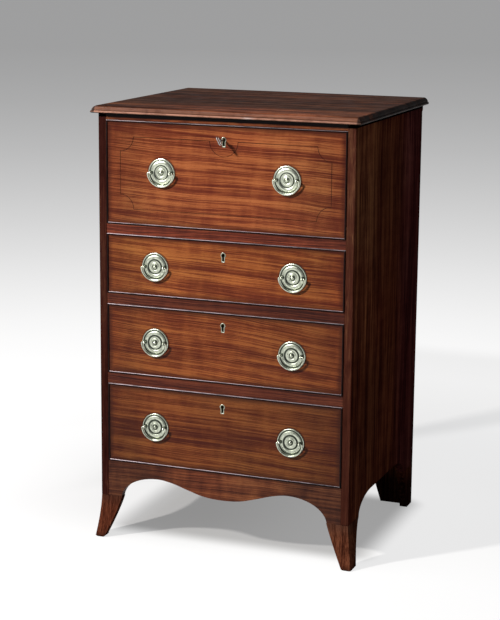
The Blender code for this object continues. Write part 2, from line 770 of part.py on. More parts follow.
def build_feet():
    """Make the four bracket feet; each rear one carries the bracket across the back."""
    bracket_y = (BACK_Y - FOOT_THICK + GAP, BACK_Y - GAP)
    for end, sections, finish in (("front", front_foot_sections(), APRON_WOOD),
                                  ("rear", rear_foot_sections(), SIDE_WOOD)):
        for where, side in (("right", 1), ("left", -1)):
            name = f"foot_{end}_{where}"
            turned = [[(side * x, y, z) for x, y, z in section] for section in sections]
            foot = new_piece(name, loft_mesh(name, turned), finish)
            if end == "rear":
                outline = bracket_outline()
                if side < 0:
                    outline = reflected(outline)
                mesh = prism_mesh("bracket", [outline], "XZ", bracket_y)
                cut(foot, new_cutter(f"{name}_bracket", mesh), "UNION")


# Cockbeads, escutcheons and handles


def bead_mesh(name, half_width, z_span):
    """Return a mitred bead round a front, with its nose rounded."""
    depth_half = (z_span[1] - z_span[0]) / 2
    shape = bmesh.new()
    bmesh.ops.create_grid(shape, x_segments=1, y_segments=1, size=1)
    bmesh.ops.scale(shape, vec=(half_width, depth_half, 1), verts=shape.verts)
    field = list(shape.faces)
    ring = bmesh.ops.inset_region(shape, faces=field, thickness=BEAD_WIDTH,
                                  use_boundary=True, use_even_offset=True)["faces"]
    bmesh.ops.delete(shape, geom=field, context="FACES_ONLY")
    grown = bmesh.ops.extrude_face_region(shape, geom=ring)["geom"]
    nose = [part for part in grown if isinstance(part, bmesh.types.BMVert)]
    bmesh.ops.translate(shape, vec=(0, 0, BEAD_DEPTH), verts=nose)
    bmesh.ops.recalc_face_normals(shape, faces=shape.faces)
    nose_edges = [edge for edge in shape.edges
                  if all(vert in nose for vert in edge.verts)
                  and edge.calc_face_angle(0) > math.pi / 4]
    bmesh.ops.bevel(shape, geom=nose_edges, offset=BEAD_NOSE, segments=2, profile=0.5,
                    affect="EDGES")
    mesh = mesh_from(shape, name)
    middle_z = (z_span[0] + z_span[1]) / 2
    back_y = FRONT_Y - BEAD_PROUD + BEAD_DEPTH
    mesh.transform(Matrix.Translation((0, back_y, middle_z)) @ PLANES["XZ"])
    return mesh


def keyhole(centre_z, radius, slot, drop):
    """Return a keyhole's outline: a round top and a straight slot below it."""
    start = -math.acos(0) + math.asin(slot / 2 / radius)
    round_top = arc((0, centre_z), (radius, radius), start, math.pi - start, SMALL_STEPS)
    return [*round_top, (-slot / 2, centre_z - drop), (slot / 2, centre_z - drop)]


def keyhole_opening(centre_z, clearance=0.0):
    """Return the outline of the escutcheon's own hole, less a clearance."""
    return keyhole(centre_z, KEYHOLE_RADIUS - clearance, KEYHOLE_SLOT - 2 * clearance,
                   KEYHOLE_DROP - clearance)


def escutcheon_outline(centre_z, clearance=0.0):
    """Return the escutcheon's outer outline, grown by a clearance."""
    grown = ESCUTCHEON_WALL + clearance
    return keyhole(centre_z, KEYHOLE_RADIUS + grown, KEYHOLE_SLOT + 2 * grown,
                   KEYHOLE_DROP + grown)


def join_escutcheon(lock, centre_z, case_y, depth_y):
    """Give a lock its escutcheon, a keyhole tube let into the front, open to a depth."""
    tube = prism_mesh("tube", [escutcheon_outline(centre_z)], "XZ",
                      (FRONT_Y - ESCUTCHEON_PROUD, case_y + LOCK_PLATE_THICK / 2))
    cut(lock, new_cutter(f"{lock.name}_tube", tube), "UNION")
    hole = prism_mesh("hole", [keyhole_opening(centre_z)], "XZ",
                      (FRONT_Y - ESCUTCHEON_PROUD - OVERRUN, depth_y))
    cut(lock, new_cutter(f"{lock.name}_keyhole", hole))


def cut_keyhole(front, centre_z, back_y):
    """Cut the hole that an escutcheon is let into."""
    mesh = prism_mesh("keyhole", [escutcheon_outline(centre_z, GAP)], "XZ",
                      (FRONT_Y - OVERRUN, back_y + OVERRUN))
    cut(front, new_cutter(f"{front.name}_keyhole", mesh))


def handle_plate_mesh():
    """Return one handle plate with its two bored ball posts, facing -Y at the origin."""
    profile = [(0, BOSS_HEIGHT), (PLATE_RADIUS * BOSS_SHARE, BOSS_HEIGHT * BOSS_SHOULDER_SHARE)]
    profile += [(PLATE_RADIUS * out, PLATE_RELIEF * up) for out, up in PLATE_SHARES]
    profile += [(PLATE_RADIUS, GAP), (0, GAP)]
    plate = new_cutter("handle_plate_form", turned_mesh("plate", profile, ROUND_STEPS))
    neck = POST_HEIGHT - math.sqrt(POST_BALL_RADIUS ** 2 - POST_RADIUS ** 2)
    ball = arc((0, POST_HEIGHT), (POST_BALL_RADIUS, POST_BALL_RADIUS), math.pi / 2,
               math.asin((neck - POST_HEIGHT) / POST_BALL_RADIUS), SMALL_STEPS // 2)
    root = PLATE_RELIEF / 2
    post = turned_mesh("post", [*ball, (POST_RADIUS, root), (0, root)], SMALL_STEPS)
    bore_radius = BAIL_PINTLE_RADIUS + GAP
    for side in (-1, 1):
        post_x = side * POST_SPACING / 2
        mesh = post.copy()
        mesh.transform(Matrix.Translation((post_x, 0, 0)))
        cut(plate, new_cutter(f"handle_post_{side}", mesh), "UNION")
        edge = post_x + side * POST_BALL_RADIUS
        start = (edge - side * (BAIL_PINTLE_DEPTH + 2 * GAP), 0, POST_HEIGHT)
        bore = rod_mesh("bore", bore_radius, start, (edge + side * OVERRUN, 0, POST_HEIGHT))
        cut(plate, new_cutter(f"handle_bore_{side}", bore))
    graph = bpy.context.evaluated_depsgraph_get()
    mesh = bpy.data.meshes.new_from_object(plate.evaluated_get(graph))
    for form in list(CUTTERS.objects):
        if form.name.startswith("handle_"):
            bpy.data.objects.remove(form, do_unlink=True)
    mesh.transform(PLANES["XZ"])
    return mesh


def bail_mesh():
    """Return a bail hanging below its pivot, with pintles that turn in to the posts."""
    ball_x = POST_SPACING / 2 + POST_BALL_RADIUS
    centre_z = BAIL_RADIUS - BAIL_DROP
    hoop = arc((0, centre_z), (BAIL_RADIUS, BAIL_RADIUS), 0, -math.pi, BAIL_STEPS)
    shoulder = (BAIL_RADIUS + BAIL_SHOULDER / 2, -BAIL_SHOULDER)
    end = [(ball_x - BAIL_PINTLE_DEPTH, 0), (BAIL_RADIUS - BAIL_SHOULDER, 0), shoulder]
    flat = [*end, *hoop, *[(-x, z) for x, z in reversed(end)]]
    points = [(x, 0, z) for x, z in flat]
    radii = []
    for x, z in flat:
        share = min(1, z / -BAIL_DROP)
        radii.append(BAIL_END_RADIUS + (BAIL_MIDDLE_RADIUS - BAIL_END_RADIUS) * share)
    radii[0] = radii[-1] = BAIL_PINTLE_RADIUS
    radii[1] = radii[-2] = BAIL_PINTLE_RADIUS
    return tube_mesh("bail", points, radii)


def build_handles(prefix, centre_x, centre_z, parent, plate, bail):
    """Make a front's two handles: a fixed plate and a bail that turns on its posts."""
    for side, where in ((-1, "left"), (1, "right")):
        seat = (side * centre_x, FRONT_Y, centre_z)
        new_piece(f"{prefix}_plate_{where}", plate.copy(), BRASS, seat, parent)
        pivot = (side * centre_x, FRONT_Y - POST_HEIGHT, centre_z)
        new_piece(f"{prefix}_bail_{where}", bail.copy(), BRASS, pivot, parent)


# Long drawers


def front_mesh(name, z_span, thick):
    """Return a front whose edges are rebated for its cockbead."""
    rebate_depth = BEAD_DEPTH - BEAD_PROUD + GAP
    inset = BEAD_WIDTH + GAP
    half_height = (z_span[1] - z_span[0]) / 2
    whole = ((-FRONT_HALF, FRONT_HALF), (-half_height, half_height))
    field = ((inset - FRONT_HALF, FRONT_HALF - inset), (inset - half_height, half_height - inset))
    rings = [(*whole, -thick), (*whole, -rebate_depth), (*field, -rebate_depth), (*field, 0)]
    mesh = stack_mesh(name, rings)
    middle_z = (z_span[0] + z_span[1]) / 2
    mesh.transform(Matrix.Translation((0, FRONT_Y, middle_z)) @ PLANES["XZ"])
    return mesh


def build_drawer_box(name, z_span, parent):
    """Make a long drawer's box, open above and in front, with a raised bottom."""
    side_y = (FRONT_Y + DRAWER_FRONT_THICK + GAP, DRAWER_REAR_Y)
    box = board(name, ((-FRONT_HALF, FRONT_HALF), side_y, z_span), OAK, parent)
    inner = FRONT_HALF - DRAWER_SIDE_THICK
    hollow_y = (side_y[0] - OVERRUN, side_y[1] - DRAWER_BACK_THICK)
    bottom_z = z_span[0] + DRAWER_BOTTOM_RISE
    for part_name, hollow_z in (
        ("hollow", (bottom_z + DRAWER_BOTTOM_THICK, z_span[1] + OVERRUN)),
        ("recess", (z_span[0] - OVERRUN, bottom_z)),
    ):
        cut(box, block_cutter(f"{name}_{part_name}", ((-inner, inner), hollow_y, hollow_z)))


def build_long_drawer(index, plate, bail):
    """Make one long drawer, the first below the fall's being number 2."""
    name = f"drawer_{index + 2}"
    opening_foot, opening_top = LEVELS[index + 1]
    front_z = (opening_foot + FRONT_GAP, opening_top - FRONT_GAP)
    back_y = FRONT_Y + DRAWER_FRONT_THICK
    slide = new_pivot(f"{name}_slide", (0, back_y, (opening_foot + opening_top) / 2))
    front = new_piece(f"{name}_front", front_mesh("front", front_z, DRAWER_FRONT_THICK),
                      FRONT_WOOD, parent=slide)
    lock_z = opening_top - DRAWER_LOCK_DROPS[index]
    cut_keyhole(front, lock_z, back_y)
    box_z = (opening_foot + GAP, opening_top - DRAWER_TOP_CLEARANCE)
    build_drawer_box(f"{name}_box", box_z, slide)
    new_piece(f"{name}_cockbead", bead_mesh("bead", FRONT_HALF, front_z), BEAD_WOOD,
              parent=slide)
    case_y = (back_y + GAP, back_y + GAP + LOCK_THICK)
    lock_span = ((-LOCK_WIDTH / 2, LOCK_WIDTH / 2), case_y,
                 (front_z[1] - LOCK_HEIGHT, front_z[1] - GAP))
    lock = board(f"{name}_lock", lock_span, BRASS, slide)
    join_escutcheon(lock, lock_z, case_y[0], case_y[0] + LOCK_THICK / 2)
    build_handles(name, DRAWER_HANDLE_X, (opening_foot + opening_top) / 2, slide, plate, bail)


# Secretaire drawer


def about_pivot(radius, angle):
    """Return the Y and Z of a point round the fall's pivot; angle 0 points to the back."""
    return (PIVOT_Y + radius * math.cos(angle), PIVOT_Z + radius * math.sin(angle))


def stay_outline(clearance, tail, front_y):
    """Return a quadrant's outline from its end at a front plane down to its tail."""
    outer = STAY_RADIUS + STAY_WIDTH / 2 + clearance
    inner = STAY_RADIUS - STAY_WIDTH / 2 - clearance
    steps = 2 * ARC_STEPS
    reach = front_y - PIVOT_Y
    outline = []
    for radius, order in ((outer, 1), (inner, -1)):
        start = math.acos(reach / radius)
        points = [about_pivot(radius, start + (-tail - start) * step / steps)
                  for step in range(steps + 1)]
        outline += points[::order]
    return outline


def stay_x_span(clearance=0.0):
    """Return the X span of the right quadrant, in the middle of the drawer side."""
    middle = FRONT_HALF - DESK_SIDE_THICK / 2 - STAY_THICK / 2
    return (middle - STAY_THICK / 2 - clearance, middle + STAY_THICK / 2 + clearance)


def sweep_angle(height):
    """Return the angle at which the scoop round the pivot passes a height."""
    return math.asin(max(-1, min(1, (height - PIVOT_Z) / SWEEP_RADIUS)))


def scooped_outline(rear_y, foot_z, top_z, front_y=None):
    """Return a board's outline, scooped in front round the fall's turned lower edge.

    A board that stands past the scoop has a flat front above it and below it.
    """
    foot_angle = sweep_angle(foot_z)
    flat = math.pi / 2
    points = [(rear_y, foot_z), (rear_y, top_z)]
    if front_y is not None:
        flat = math.acos(min(1, (front_y - PIVOT_Y) / SWEEP_RADIUS))
        points.append((front_y, top_z))
    start = min(flat, sweep_angle(top_z))
    end = max(-flat, foot_angle)
    points += [about_pivot(SWEEP_RADIUS, start + (end - start) * step / ARC_STEPS)
               for step in range(ARC_STEPS + 1)]
    if end > foot_angle:
        points.append((front_y, foot_z))
    return points


def build_desk_box(desk):
    """Make the secretaire drawer's sides, floor and back."""
    foot_z = LEVELS[0][0] + GAP
    side_top = FALL_OPENING_TOP - DESK_SIDE_TOP_CLEARANCE
    side_front = FALL_BACK_Y + SIDE_SETBACK
    outline = scooped_outline(DRAWER_REAR_Y, foot_z, side_top, side_front)
    slot = stay_outline(STAY_SLOT_CLEARANCE, STAY_SLOT_TAIL, side_front - OVERRUN)
    plate_x = (FRONT_HALF - PLATE_THICK - GAP, FRONT_HALF + OVERRUN)
    plate_y = (side_front - OVERRUN, PIVOT_Y + SWEEP_RADIUS + PLATE_LENGTH + GAP)
    plate_z = (PIVOT_Z - PLATE_HALF_HEIGHT - GAP, PIVOT_Z + PLATE_HALF_HEIGHT + GAP)
    side_x = (FRONT_HALF - DESK_SIDE_THICK, FRONT_HALF)
    slot_x = stay_x_span(STAY_SLOT_CLEARANCE)
    for where, turn in SIDES:
        name = f"desk_side_{where}"
        side = new_piece(name, prism_mesh(name, [outline], "YZ", turn(side_x)), OAK,
                         parent=desk)
        cut(side, new_cutter(f"{name}_slot", prism_mesh("slot", [slot], "YZ", turn(slot_x))))
        cut(side, block_cutter(f"{name}_recess", (turn(plate_x), plate_y, plate_z)))
    inner = (GAP - DESK_INNER_HALF, DESK_INNER_HALF - GAP)
    back_front = DRAWER_REAR_Y - DESK_BACK_THICK
    floor = scooped_outline(back_front - GAP, DESK_TOP_Z - DESK_FLOOR_THICK, DESK_TOP_Z)
    new_piece("desk_floor", prism_mesh("desk_floor", [floor], "YZ", inner), RAIL_WOOD,
              parent=desk)
    back_z = (foot_z, FALL_OPENING_TOP - DESK_BACK_TOP_CLEARANCE)
    board("desk_back", (inner, (back_front, DRAWER_REAR_Y), back_z), OAK, desk)


def build_pivot_plates(desk):
    """Make the brass plates let into the drawer sides, each with the fall's pin."""
    arm_radius = PLATE_ARM_HALF_HEIGHT
    root_y = PIVOT_Y + SWEEP_RADIUS + GAP
    outline = [
        *arc((PIVOT_Y, PIVOT_Z), (arm_radius, arm_radius), math.pi / 2, 3 * math.pi / 2,
             ARC_STEPS),
        (root_y, PIVOT_Z - arm_radius),
        (root_y, PIVOT_Z - PLATE_HALF_HEIGHT),
        (root_y + PLATE_LENGTH - GAP, PIVOT_Z - PLATE_HALF_HEIGHT),
        (root_y + PLATE_LENGTH - GAP, PIVOT_Z + PLATE_HALF_HEIGHT),
        (root_y, PIVOT_Z + PLATE_HALF_HEIGHT),
        (root_y, PIVOT_Z + arm_radius),
    ]
    plate_x = (FRONT_HALF - PLATE_THICK, FRONT_HALF)
    tip = plate_x[0] - PIN_LENGTH
    root = FRONT_HALF - PLATE_THICK / 2
    for (where, turn), side in zip(SIDES, (1, -1)):
        name = f"pivot_plate_{where}"
        plate = new_piece(name, prism_mesh(name, [outline], "YZ", turn(plate_x)), BRASS,
                          parent=desk)
        pin = rod_mesh("pin", PIN_RADIUS, (side * tip, PIVOT_Y, PIVOT_Z),
                       (side * root, PIVOT_Y, PIVOT_Z))
        cut(plate, new_cutter(f"{name}_pin", pin), "UNION")


def case_layout():
    """Return the pigeonhole case's outer spans and its open cells, as X, Y and Z spans."""
    half = DESK_INNER_HALF - 2 * GAP
    rear_y = DRAWER_REAR_Y - DESK_BACK_THICK - GAP
    case_y = (rear_y - CASE_DEPTH, rear_y)
    case_z = (DESK_TOP_Z + GAP, FALL_OPENING_TOP - CASE_TOP_CLEARANCE)
    cell_y = (case_y[0] - OVERRUN, case_y[1] - CASE_WALL)
    low = case_z[0] + CASE_WALL
    high = case_z[1] - CASE_WALL
    shelf = low + INNER_DRAWER_HEIGHT
    lower = (low, shelf)
    upper = (shelf + CASE_WALL, high)
    centre = CASE_CENTRE_WIDTH / 2
    wing = (centre + CASE_WALL, half - CASE_WALL)
    middle = (wing[0] + wing[1]) / 2
    cells = {"drawer": ((-centre, centre), cell_y, lower),
             "cupboard": ((-centre, centre), cell_y, upper)}
    for where, turn in SIDES:
        cells[f"low_{where}"] = (turn(wing), cell_y, lower)
        cells[f"inner_{where}"] = (turn((wing[0], middle - CASE_WALL / 2)), cell_y, upper)
        cells[f"outer_{where}"] = (turn((middle + CASE_WALL / 2, wing[1])), cell_y, upper)
    return ((-half, half), case_y, case_z), cells


def build_pigeonholes(desk):
    """Make the pigeonhole case at the back of the writing space and its small drawer."""
    outer, cells = case_layout()
    case = board("pigeonhole_case", outer, RAIL_WOOD, desk)
    for name, spans in cells.items():
        cut(case, block_cutter(f"cell_{name}", spans))
    x_span, y_span, z_span = cells["drawer"]
    clear = INNER_DRAWER_CLEARANCE
    box = ((x_span[0] + clear, x_span[1] - clear), (outer[1][0], y_span[1] - clear),
           (z_span[0] + GAP, z_span[1] - 2 * clear))
    middle_z = (box[2][0] + box[2][1]) / 2
    slide = new_pivot("inner_slide", (0, box[1][0], middle_z), desk)
    drawer = board("inner_drawer", box, FRONT_WOOD, slide)
    hollow = [(low + INNER_DRAWER_WALL, high - INNER_DRAWER_WALL) for low, high in box]
    hollow[2] = (hollow[2][0], box[2][1] + OVERRUN)
    cut(drawer, block_cutter("inner_hollow", hollow))
    knob_profile = [(KNOB_RADIUS * out, KNOB_LENGTH * up) for out, up in KNOB_SHARES]
    knob = turned_mesh("knob", knob_profile, SMALL_STEPS)
    knob.transform(PLANES["XZ"])
    knob_seat = (0, box[1][0] + INNER_DRAWER_WALL / 2, middle_z)
    cut(drawer, new_cutter("inner_knob", knob, knob_seat), "UNION")


# Fall


def fall_turning_cutter():
    """Return the shape that turns the fall's lower back edge to a radius on the pivot."""
    inner_y = FALL_BACK_Y + OVERRUN
    reach = FALL_BACK_Y - PIVOT_Y
    low_angle = -math.pi / 2
    high_angle = -math.acos(reach / PIVOT_RISE)
    points = [about_pivot(PIVOT_RISE, low_angle + (high_angle - low_angle) * step / ARC_STEPS)
              for step in range(ARC_STEPS + 1)]
    foot_z = FALL_BOTTOM_Z - OVERRUN
    outline = [*points, (inner_y, points[-1][1]), (inner_y, foot_z), (PIVOT_Y, foot_z)]
    span = (-FRONT_HALF - OVERRUN, FRONT_HALF + OVERRUN)
    return new_cutter("fall_turning", prism_mesh("turning", [outline], "YZ", span))


def bolt_span():
    """Return the fall lock bolt's X, Y and Z spans."""
    middle_y = FALL_BACK_Y - LOCK_THICK / 2 + LOCK_PLATE_THICK / 2
    top = FALL_TOP_Z - GAP
    return ((-BOLT_WIDTH / 2, BOLT_WIDTH / 2),
            (middle_y - BOLT_THICK / 2, middle_y + BOLT_THICK / 2), (top - BOLT_HEIGHT, top))


def bolt_mortise_span():
    """Return the X, Y and Z spans of the bolt's mortise in the top rail."""
    x_span, y_span, _ = bolt_span()
    clear = 2 * BOLT_CLEARANCE
    return ((x_span[0] - clear, x_span[1] + clear), (y_span[0] - clear, y_span[1] + clear),
            (FALL_OPENING_TOP - OVERRUN, FALL_OPENING_TOP + BOLT_TRAVEL + BOLT_END_CLEARANCE))


def build_fall_lock(fall, panel, lock_z):
    """Make the lock let into the fall, with its bolt and key."""
    lock_x = (-LOCK_WIDTH / 2, LOCK_WIDTH / 2)
    lock_y = (FALL_BACK_Y - LOCK_THICK, FALL_BACK_Y)
    lock_foot = FALL_TOP_Z - LOCK_HEIGHT
    pocket = ((lock_x[0] - GAP, lock_x[1] + GAP), (lock_y[0] - GAP, lock_y[1] + OVERRUN),
              (lock_foot - GAP, FALL_TOP_Z + OVERRUN))
    cut(panel, block_cutter("lock_pocket", pocket))
    lock = board("fall_lock", (lock_x, lock_y, (lock_foot, FALL_TOP_Z)), BRASS, fall)
    bolt_x, bolt_y, bolt_z = bolt_span()
    clear = BOLT_CLEARANCE
    channel = ((bolt_x[0] - clear, bolt_x[1] + clear), (bolt_y[0] - clear, bolt_y[1] + clear),
               (bolt_z[0] - clear, FALL_TOP_Z + OVERRUN))
    cut(lock, block_cutter("bolt_channel", channel))
    bit_tip = lock_y[1] - LOCK_PLATE_THICK - GAP
    chamber_y = (bit_tip - KEY_BIT_LENGTH - GAP, bit_tip + GAP)
    chamber = rod_mesh("chamber", LOCK_CHAMBER_RADIUS, (0, chamber_y[0], lock_z),
                       (0, chamber_y[1], lock_z), 2 * SMALL_STEPS)
    cut(lock, new_cutter("key_chamber", chamber))
    join_escutcheon(lock, lock_z, lock_y[0], (chamber_y[0] + chamber_y[1]) / 2)
    bolt_pivot = new_pivot("bolt_slide", (0, (bolt_y[0] + bolt_y[1]) / 2, bolt_z[1]), fall)
    board("fall_bolt", (bolt_x, bolt_y, bolt_z), STEEL, bolt_pivot)
    build_key(fall, lock_z, bit_tip)


def build_key(fall, lock_z, tip_y):
    """Make the key: a shank with its bit and collar, and a waisted bow that leans."""
    turn = new_pivot("key_turn", (0, FRONT_Y, lock_z), fall)
    bow_end = FRONT_Y - KEY_REACH
    middle_y = bow_end + KEY_BOW_DEPTH / 2
    half_depth = KEY_BOW_DEPTH / 2 - KEY_BOW_WIRE
    half_height = KEY_BOW_HEIGHT / 2 - KEY_BOW_WIRE
    steps = 2 * ARC_STEPS
    points = []
    for step in range(steps):
        angle = 2 * math.pi * step / steps
        pinch = KEY_BOW_WAIST_SHARE * max(0, -math.cos(angle)) ** KEY_BOW_WAIST_POWER
        rise = half_height * math.sin(angle)
        points.append((-rise * math.sin(KEY_BOW_LEAN),
                       middle_y + half_depth * math.cos(angle) * (1 - pinch),
                       lock_z + rise * math.cos(KEY_BOW_LEAN)))
    reach = min(point[1] for point in points) - KEY_BOW_WIRE
    points = [(x, y + bow_end - reach, z) for x, y, z in points]
    root = max(point[1] for point in points)
    key = new_piece("key", tube_mesh("key", points, [KEY_BOW_WIRE] * steps, True), STEEL,
                    parent=turn)
    shank = rod_mesh("shank", KEY_SHANK_RADIUS, (0, root, lock_z), (0, tip_y, lock_z))
    collar_y = root + 2 * KEY_BOW_WIRE
    collar = rod_mesh("collar", KEY_COLLAR_RADIUS, (0, collar_y, lock_z),
                      (0, collar_y + KEY_COLLAR_LENGTH, lock_z))
    bit = ((-KEY_BIT_THICK / 2, KEY_BIT_THICK / 2), (tip_y - KEY_BIT_LENGTH, tip_y),
           (lock_z - KEY_BIT_DROP, lock_z))
    for name, mesh in (("key_shank", shank), ("key_collar", collar),
                       ("key_bit", block_mesh("bit", [bit]))):
        cut(key, new_cutter(name, mesh), "UNION")


def build_fall(desk, plate, bail):
    """Make the hinged fall with its bead, quadrant stays, lock and handles."""
    fall = new_pivot("fall_hinge", (0, PIVOT_Y, PIVOT_Z), desk)
    z_span = (FALL_BOTTOM_Z, FALL_TOP_Z)
    panel = new_piece("fall_panel", front_mesh("fall", z_span, FALL_THICK), FRONT_WOOD,
                      parent=fall)
    bead = new_piece("fall_cockbead", bead_mesh("bead", FRONT_HALF, z_span), BEAD_WOOD,
                     parent=fall)
    cut(panel, fall_turning_cutter())
    arm_clear = PLATE_ARM_HALF_HEIGHT + GAP
    notch_x = (FRONT_HALF - PLATE_THICK - GAP, FRONT_HALF + OVERRUN)
    notch_y = (PIVOT_Y - arm_clear, FALL_BACK_Y + OVERRUN)
    notch_z = (FALL_BOTTOM_Z - OVERRUN, PIVOT_Z + arm_clear)
    hole_x = (notch_x[0] - PIN_LENGTH - 2 * GAP, FRONT_HALF + OVERRUN)
    mortise_x = stay_x_span(GAP)
    mortise_y = (FALL_BACK_Y - STAY_MORTISE - GAP, FALL_BACK_Y + OVERRUN)
    root_reach = FALL_BACK_Y - STAY_MORTISE - PIVOT_Y
    mouth_reach = FALL_BACK_Y - PIVOT_Y
    inner = STAY_RADIUS - STAY_WIDTH / 2
    outer = STAY_RADIUS + STAY_WIDTH / 2
    mortise_z = (PIVOT_Z + math.sqrt(inner ** 2 - mouth_reach ** 2) - GAP,
                 PIVOT_Z + math.sqrt(outer ** 2 - root_reach ** 2) + GAP)
    stay = stay_outline(0, STAY_TAIL, FALL_BACK_Y - STAY_MORTISE)
    for where, turn in SIDES:
        notch = block_cutter(f"arm_notch_{where}", (turn(notch_x), notch_y, notch_z))
        ends = turn(hole_x)
        hole = new_cutter(f"pin_hole_{where}", rod_mesh(
            "pin_hole", PIN_RADIUS + GAP, (ends[0], PIVOT_Y, PIVOT_Z),
            (ends[1], PIVOT_Y, PIVOT_Z)))
        for item in (panel, bead):
            cut(item, notch)
            cut(item, hole)
        mortise = block_cutter(f"stay_mortise_{where}", (turn(mortise_x), mortise_y, mortise_z))
        cut(panel, mortise)
        name = f"fall_quadrant_{where}"
        new_piece(name, prism_mesh(name, [stay], "YZ", turn(stay_x_span())), BRASS,
                  parent=fall)
    lock_z = FALL_OPENING_TOP - FALL_LOCK_DROP
    cut_keyhole(panel, lock_z, FALL_BACK_Y - LOCK_THICK)
    build_fall_lock(fall, panel, lock_z)
    handle_z = FALL_OPENING_TOP - FALL_HANDLE_DROP
    build_handles("fall", FALL_HANDLE_X, handle_z, fall, plate, bail)


def main():
    """Build the whole chest."""
    build_top()
    build_carcase_boards()
    build_rails()
    build_feet()
    plate = handle_plate_mesh()
    bail = bail_mesh()
    middle_z = (LEVELS[0][0] + LEVELS[0][1]) / 2
    desk = new_pivot("secretaire_slide", (0, FALL_BACK_Y, middle_z))
    build_desk_box(desk)
    build_pivot_plates(desk)
    build_pigeonholes(desk)
    build_fall(desk, plate, bail)
    for index in range(len(LEVELS) - 1):
        build_long_drawer(index, plate, bail)
    bpy.context.view_layer.update()


if __name__ == "__main__":
    main()
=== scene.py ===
"""Looks of the mahogany secretaire chest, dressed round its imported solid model.

Lengths are metres and colours are linear.  The chest stands on Z 0, faces -Y and is
centred on X 0.
"""

import logging
import math
from collections.abc import Sequence
from dataclasses import dataclass, field, replace
from enum import Enum
from functools import cached_property

import bmesh
import bpy
from mathutils import Matrix, Vector, noise

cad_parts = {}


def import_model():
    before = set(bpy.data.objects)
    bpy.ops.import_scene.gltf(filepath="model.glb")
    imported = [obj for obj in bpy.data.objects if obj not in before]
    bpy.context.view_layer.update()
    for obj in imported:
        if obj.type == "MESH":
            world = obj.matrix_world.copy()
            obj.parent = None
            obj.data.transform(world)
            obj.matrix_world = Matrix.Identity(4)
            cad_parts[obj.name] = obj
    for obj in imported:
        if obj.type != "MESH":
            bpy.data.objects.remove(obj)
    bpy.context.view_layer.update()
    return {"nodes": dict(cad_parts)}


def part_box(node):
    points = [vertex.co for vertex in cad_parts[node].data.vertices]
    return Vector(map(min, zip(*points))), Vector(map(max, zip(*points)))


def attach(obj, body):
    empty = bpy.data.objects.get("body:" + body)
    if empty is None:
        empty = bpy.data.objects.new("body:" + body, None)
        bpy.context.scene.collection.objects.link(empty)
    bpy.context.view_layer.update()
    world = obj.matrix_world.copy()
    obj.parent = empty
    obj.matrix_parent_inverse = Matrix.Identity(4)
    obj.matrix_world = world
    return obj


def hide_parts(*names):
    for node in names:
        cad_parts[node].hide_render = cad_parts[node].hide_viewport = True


Colour = tuple[float, float, float]
Point = tuple[float, float]
Panel = tuple[Point, Point]
Socket = bpy.types.NodeSocket
Value = float | Socket

MM = 0.001
X, Y, Z = range(3)
SIDES = ("left", "right")
FRONT_Y = -243.5 * MM
FALL_BACK_Y = FRONT_Y + 18 * MM
FALL_LOCK_Z = 937.5 * MM
# Above this height the sides and the top rail are painted near-black: a painted shadow under the
# top's moulding
EAVES_Z = 975.5 * MM
EAVES_SOFT = 1 * MM
WELD = 0.01 * MM
BOARD_GAP = 2 * MM
# Radii of the ring of painted shade round each handle plate
PLATE_SHADE_RING = (31.2 * MM, 36 * MM)
ARRIS_ANGLE = math.radians(32)
log = logging.getLogger("secretaire_chest")


def screen(red: int, green: int, blue: int) -> Colour:
    """Return the linear colour of a screen colour whose parts run from 0 to 255."""
    parts = [value / 255 for value in (red, green, blue)]
    return tuple(((part + 0.055) / 1.055) ** 2.4 for part in parts)


class Mix(Enum):
    """How one colour goes over another, in Blender's words."""

    OVER = "MIX"
    TINT = "MULTIPLY"
    LIGHTEN = "SCREEN"


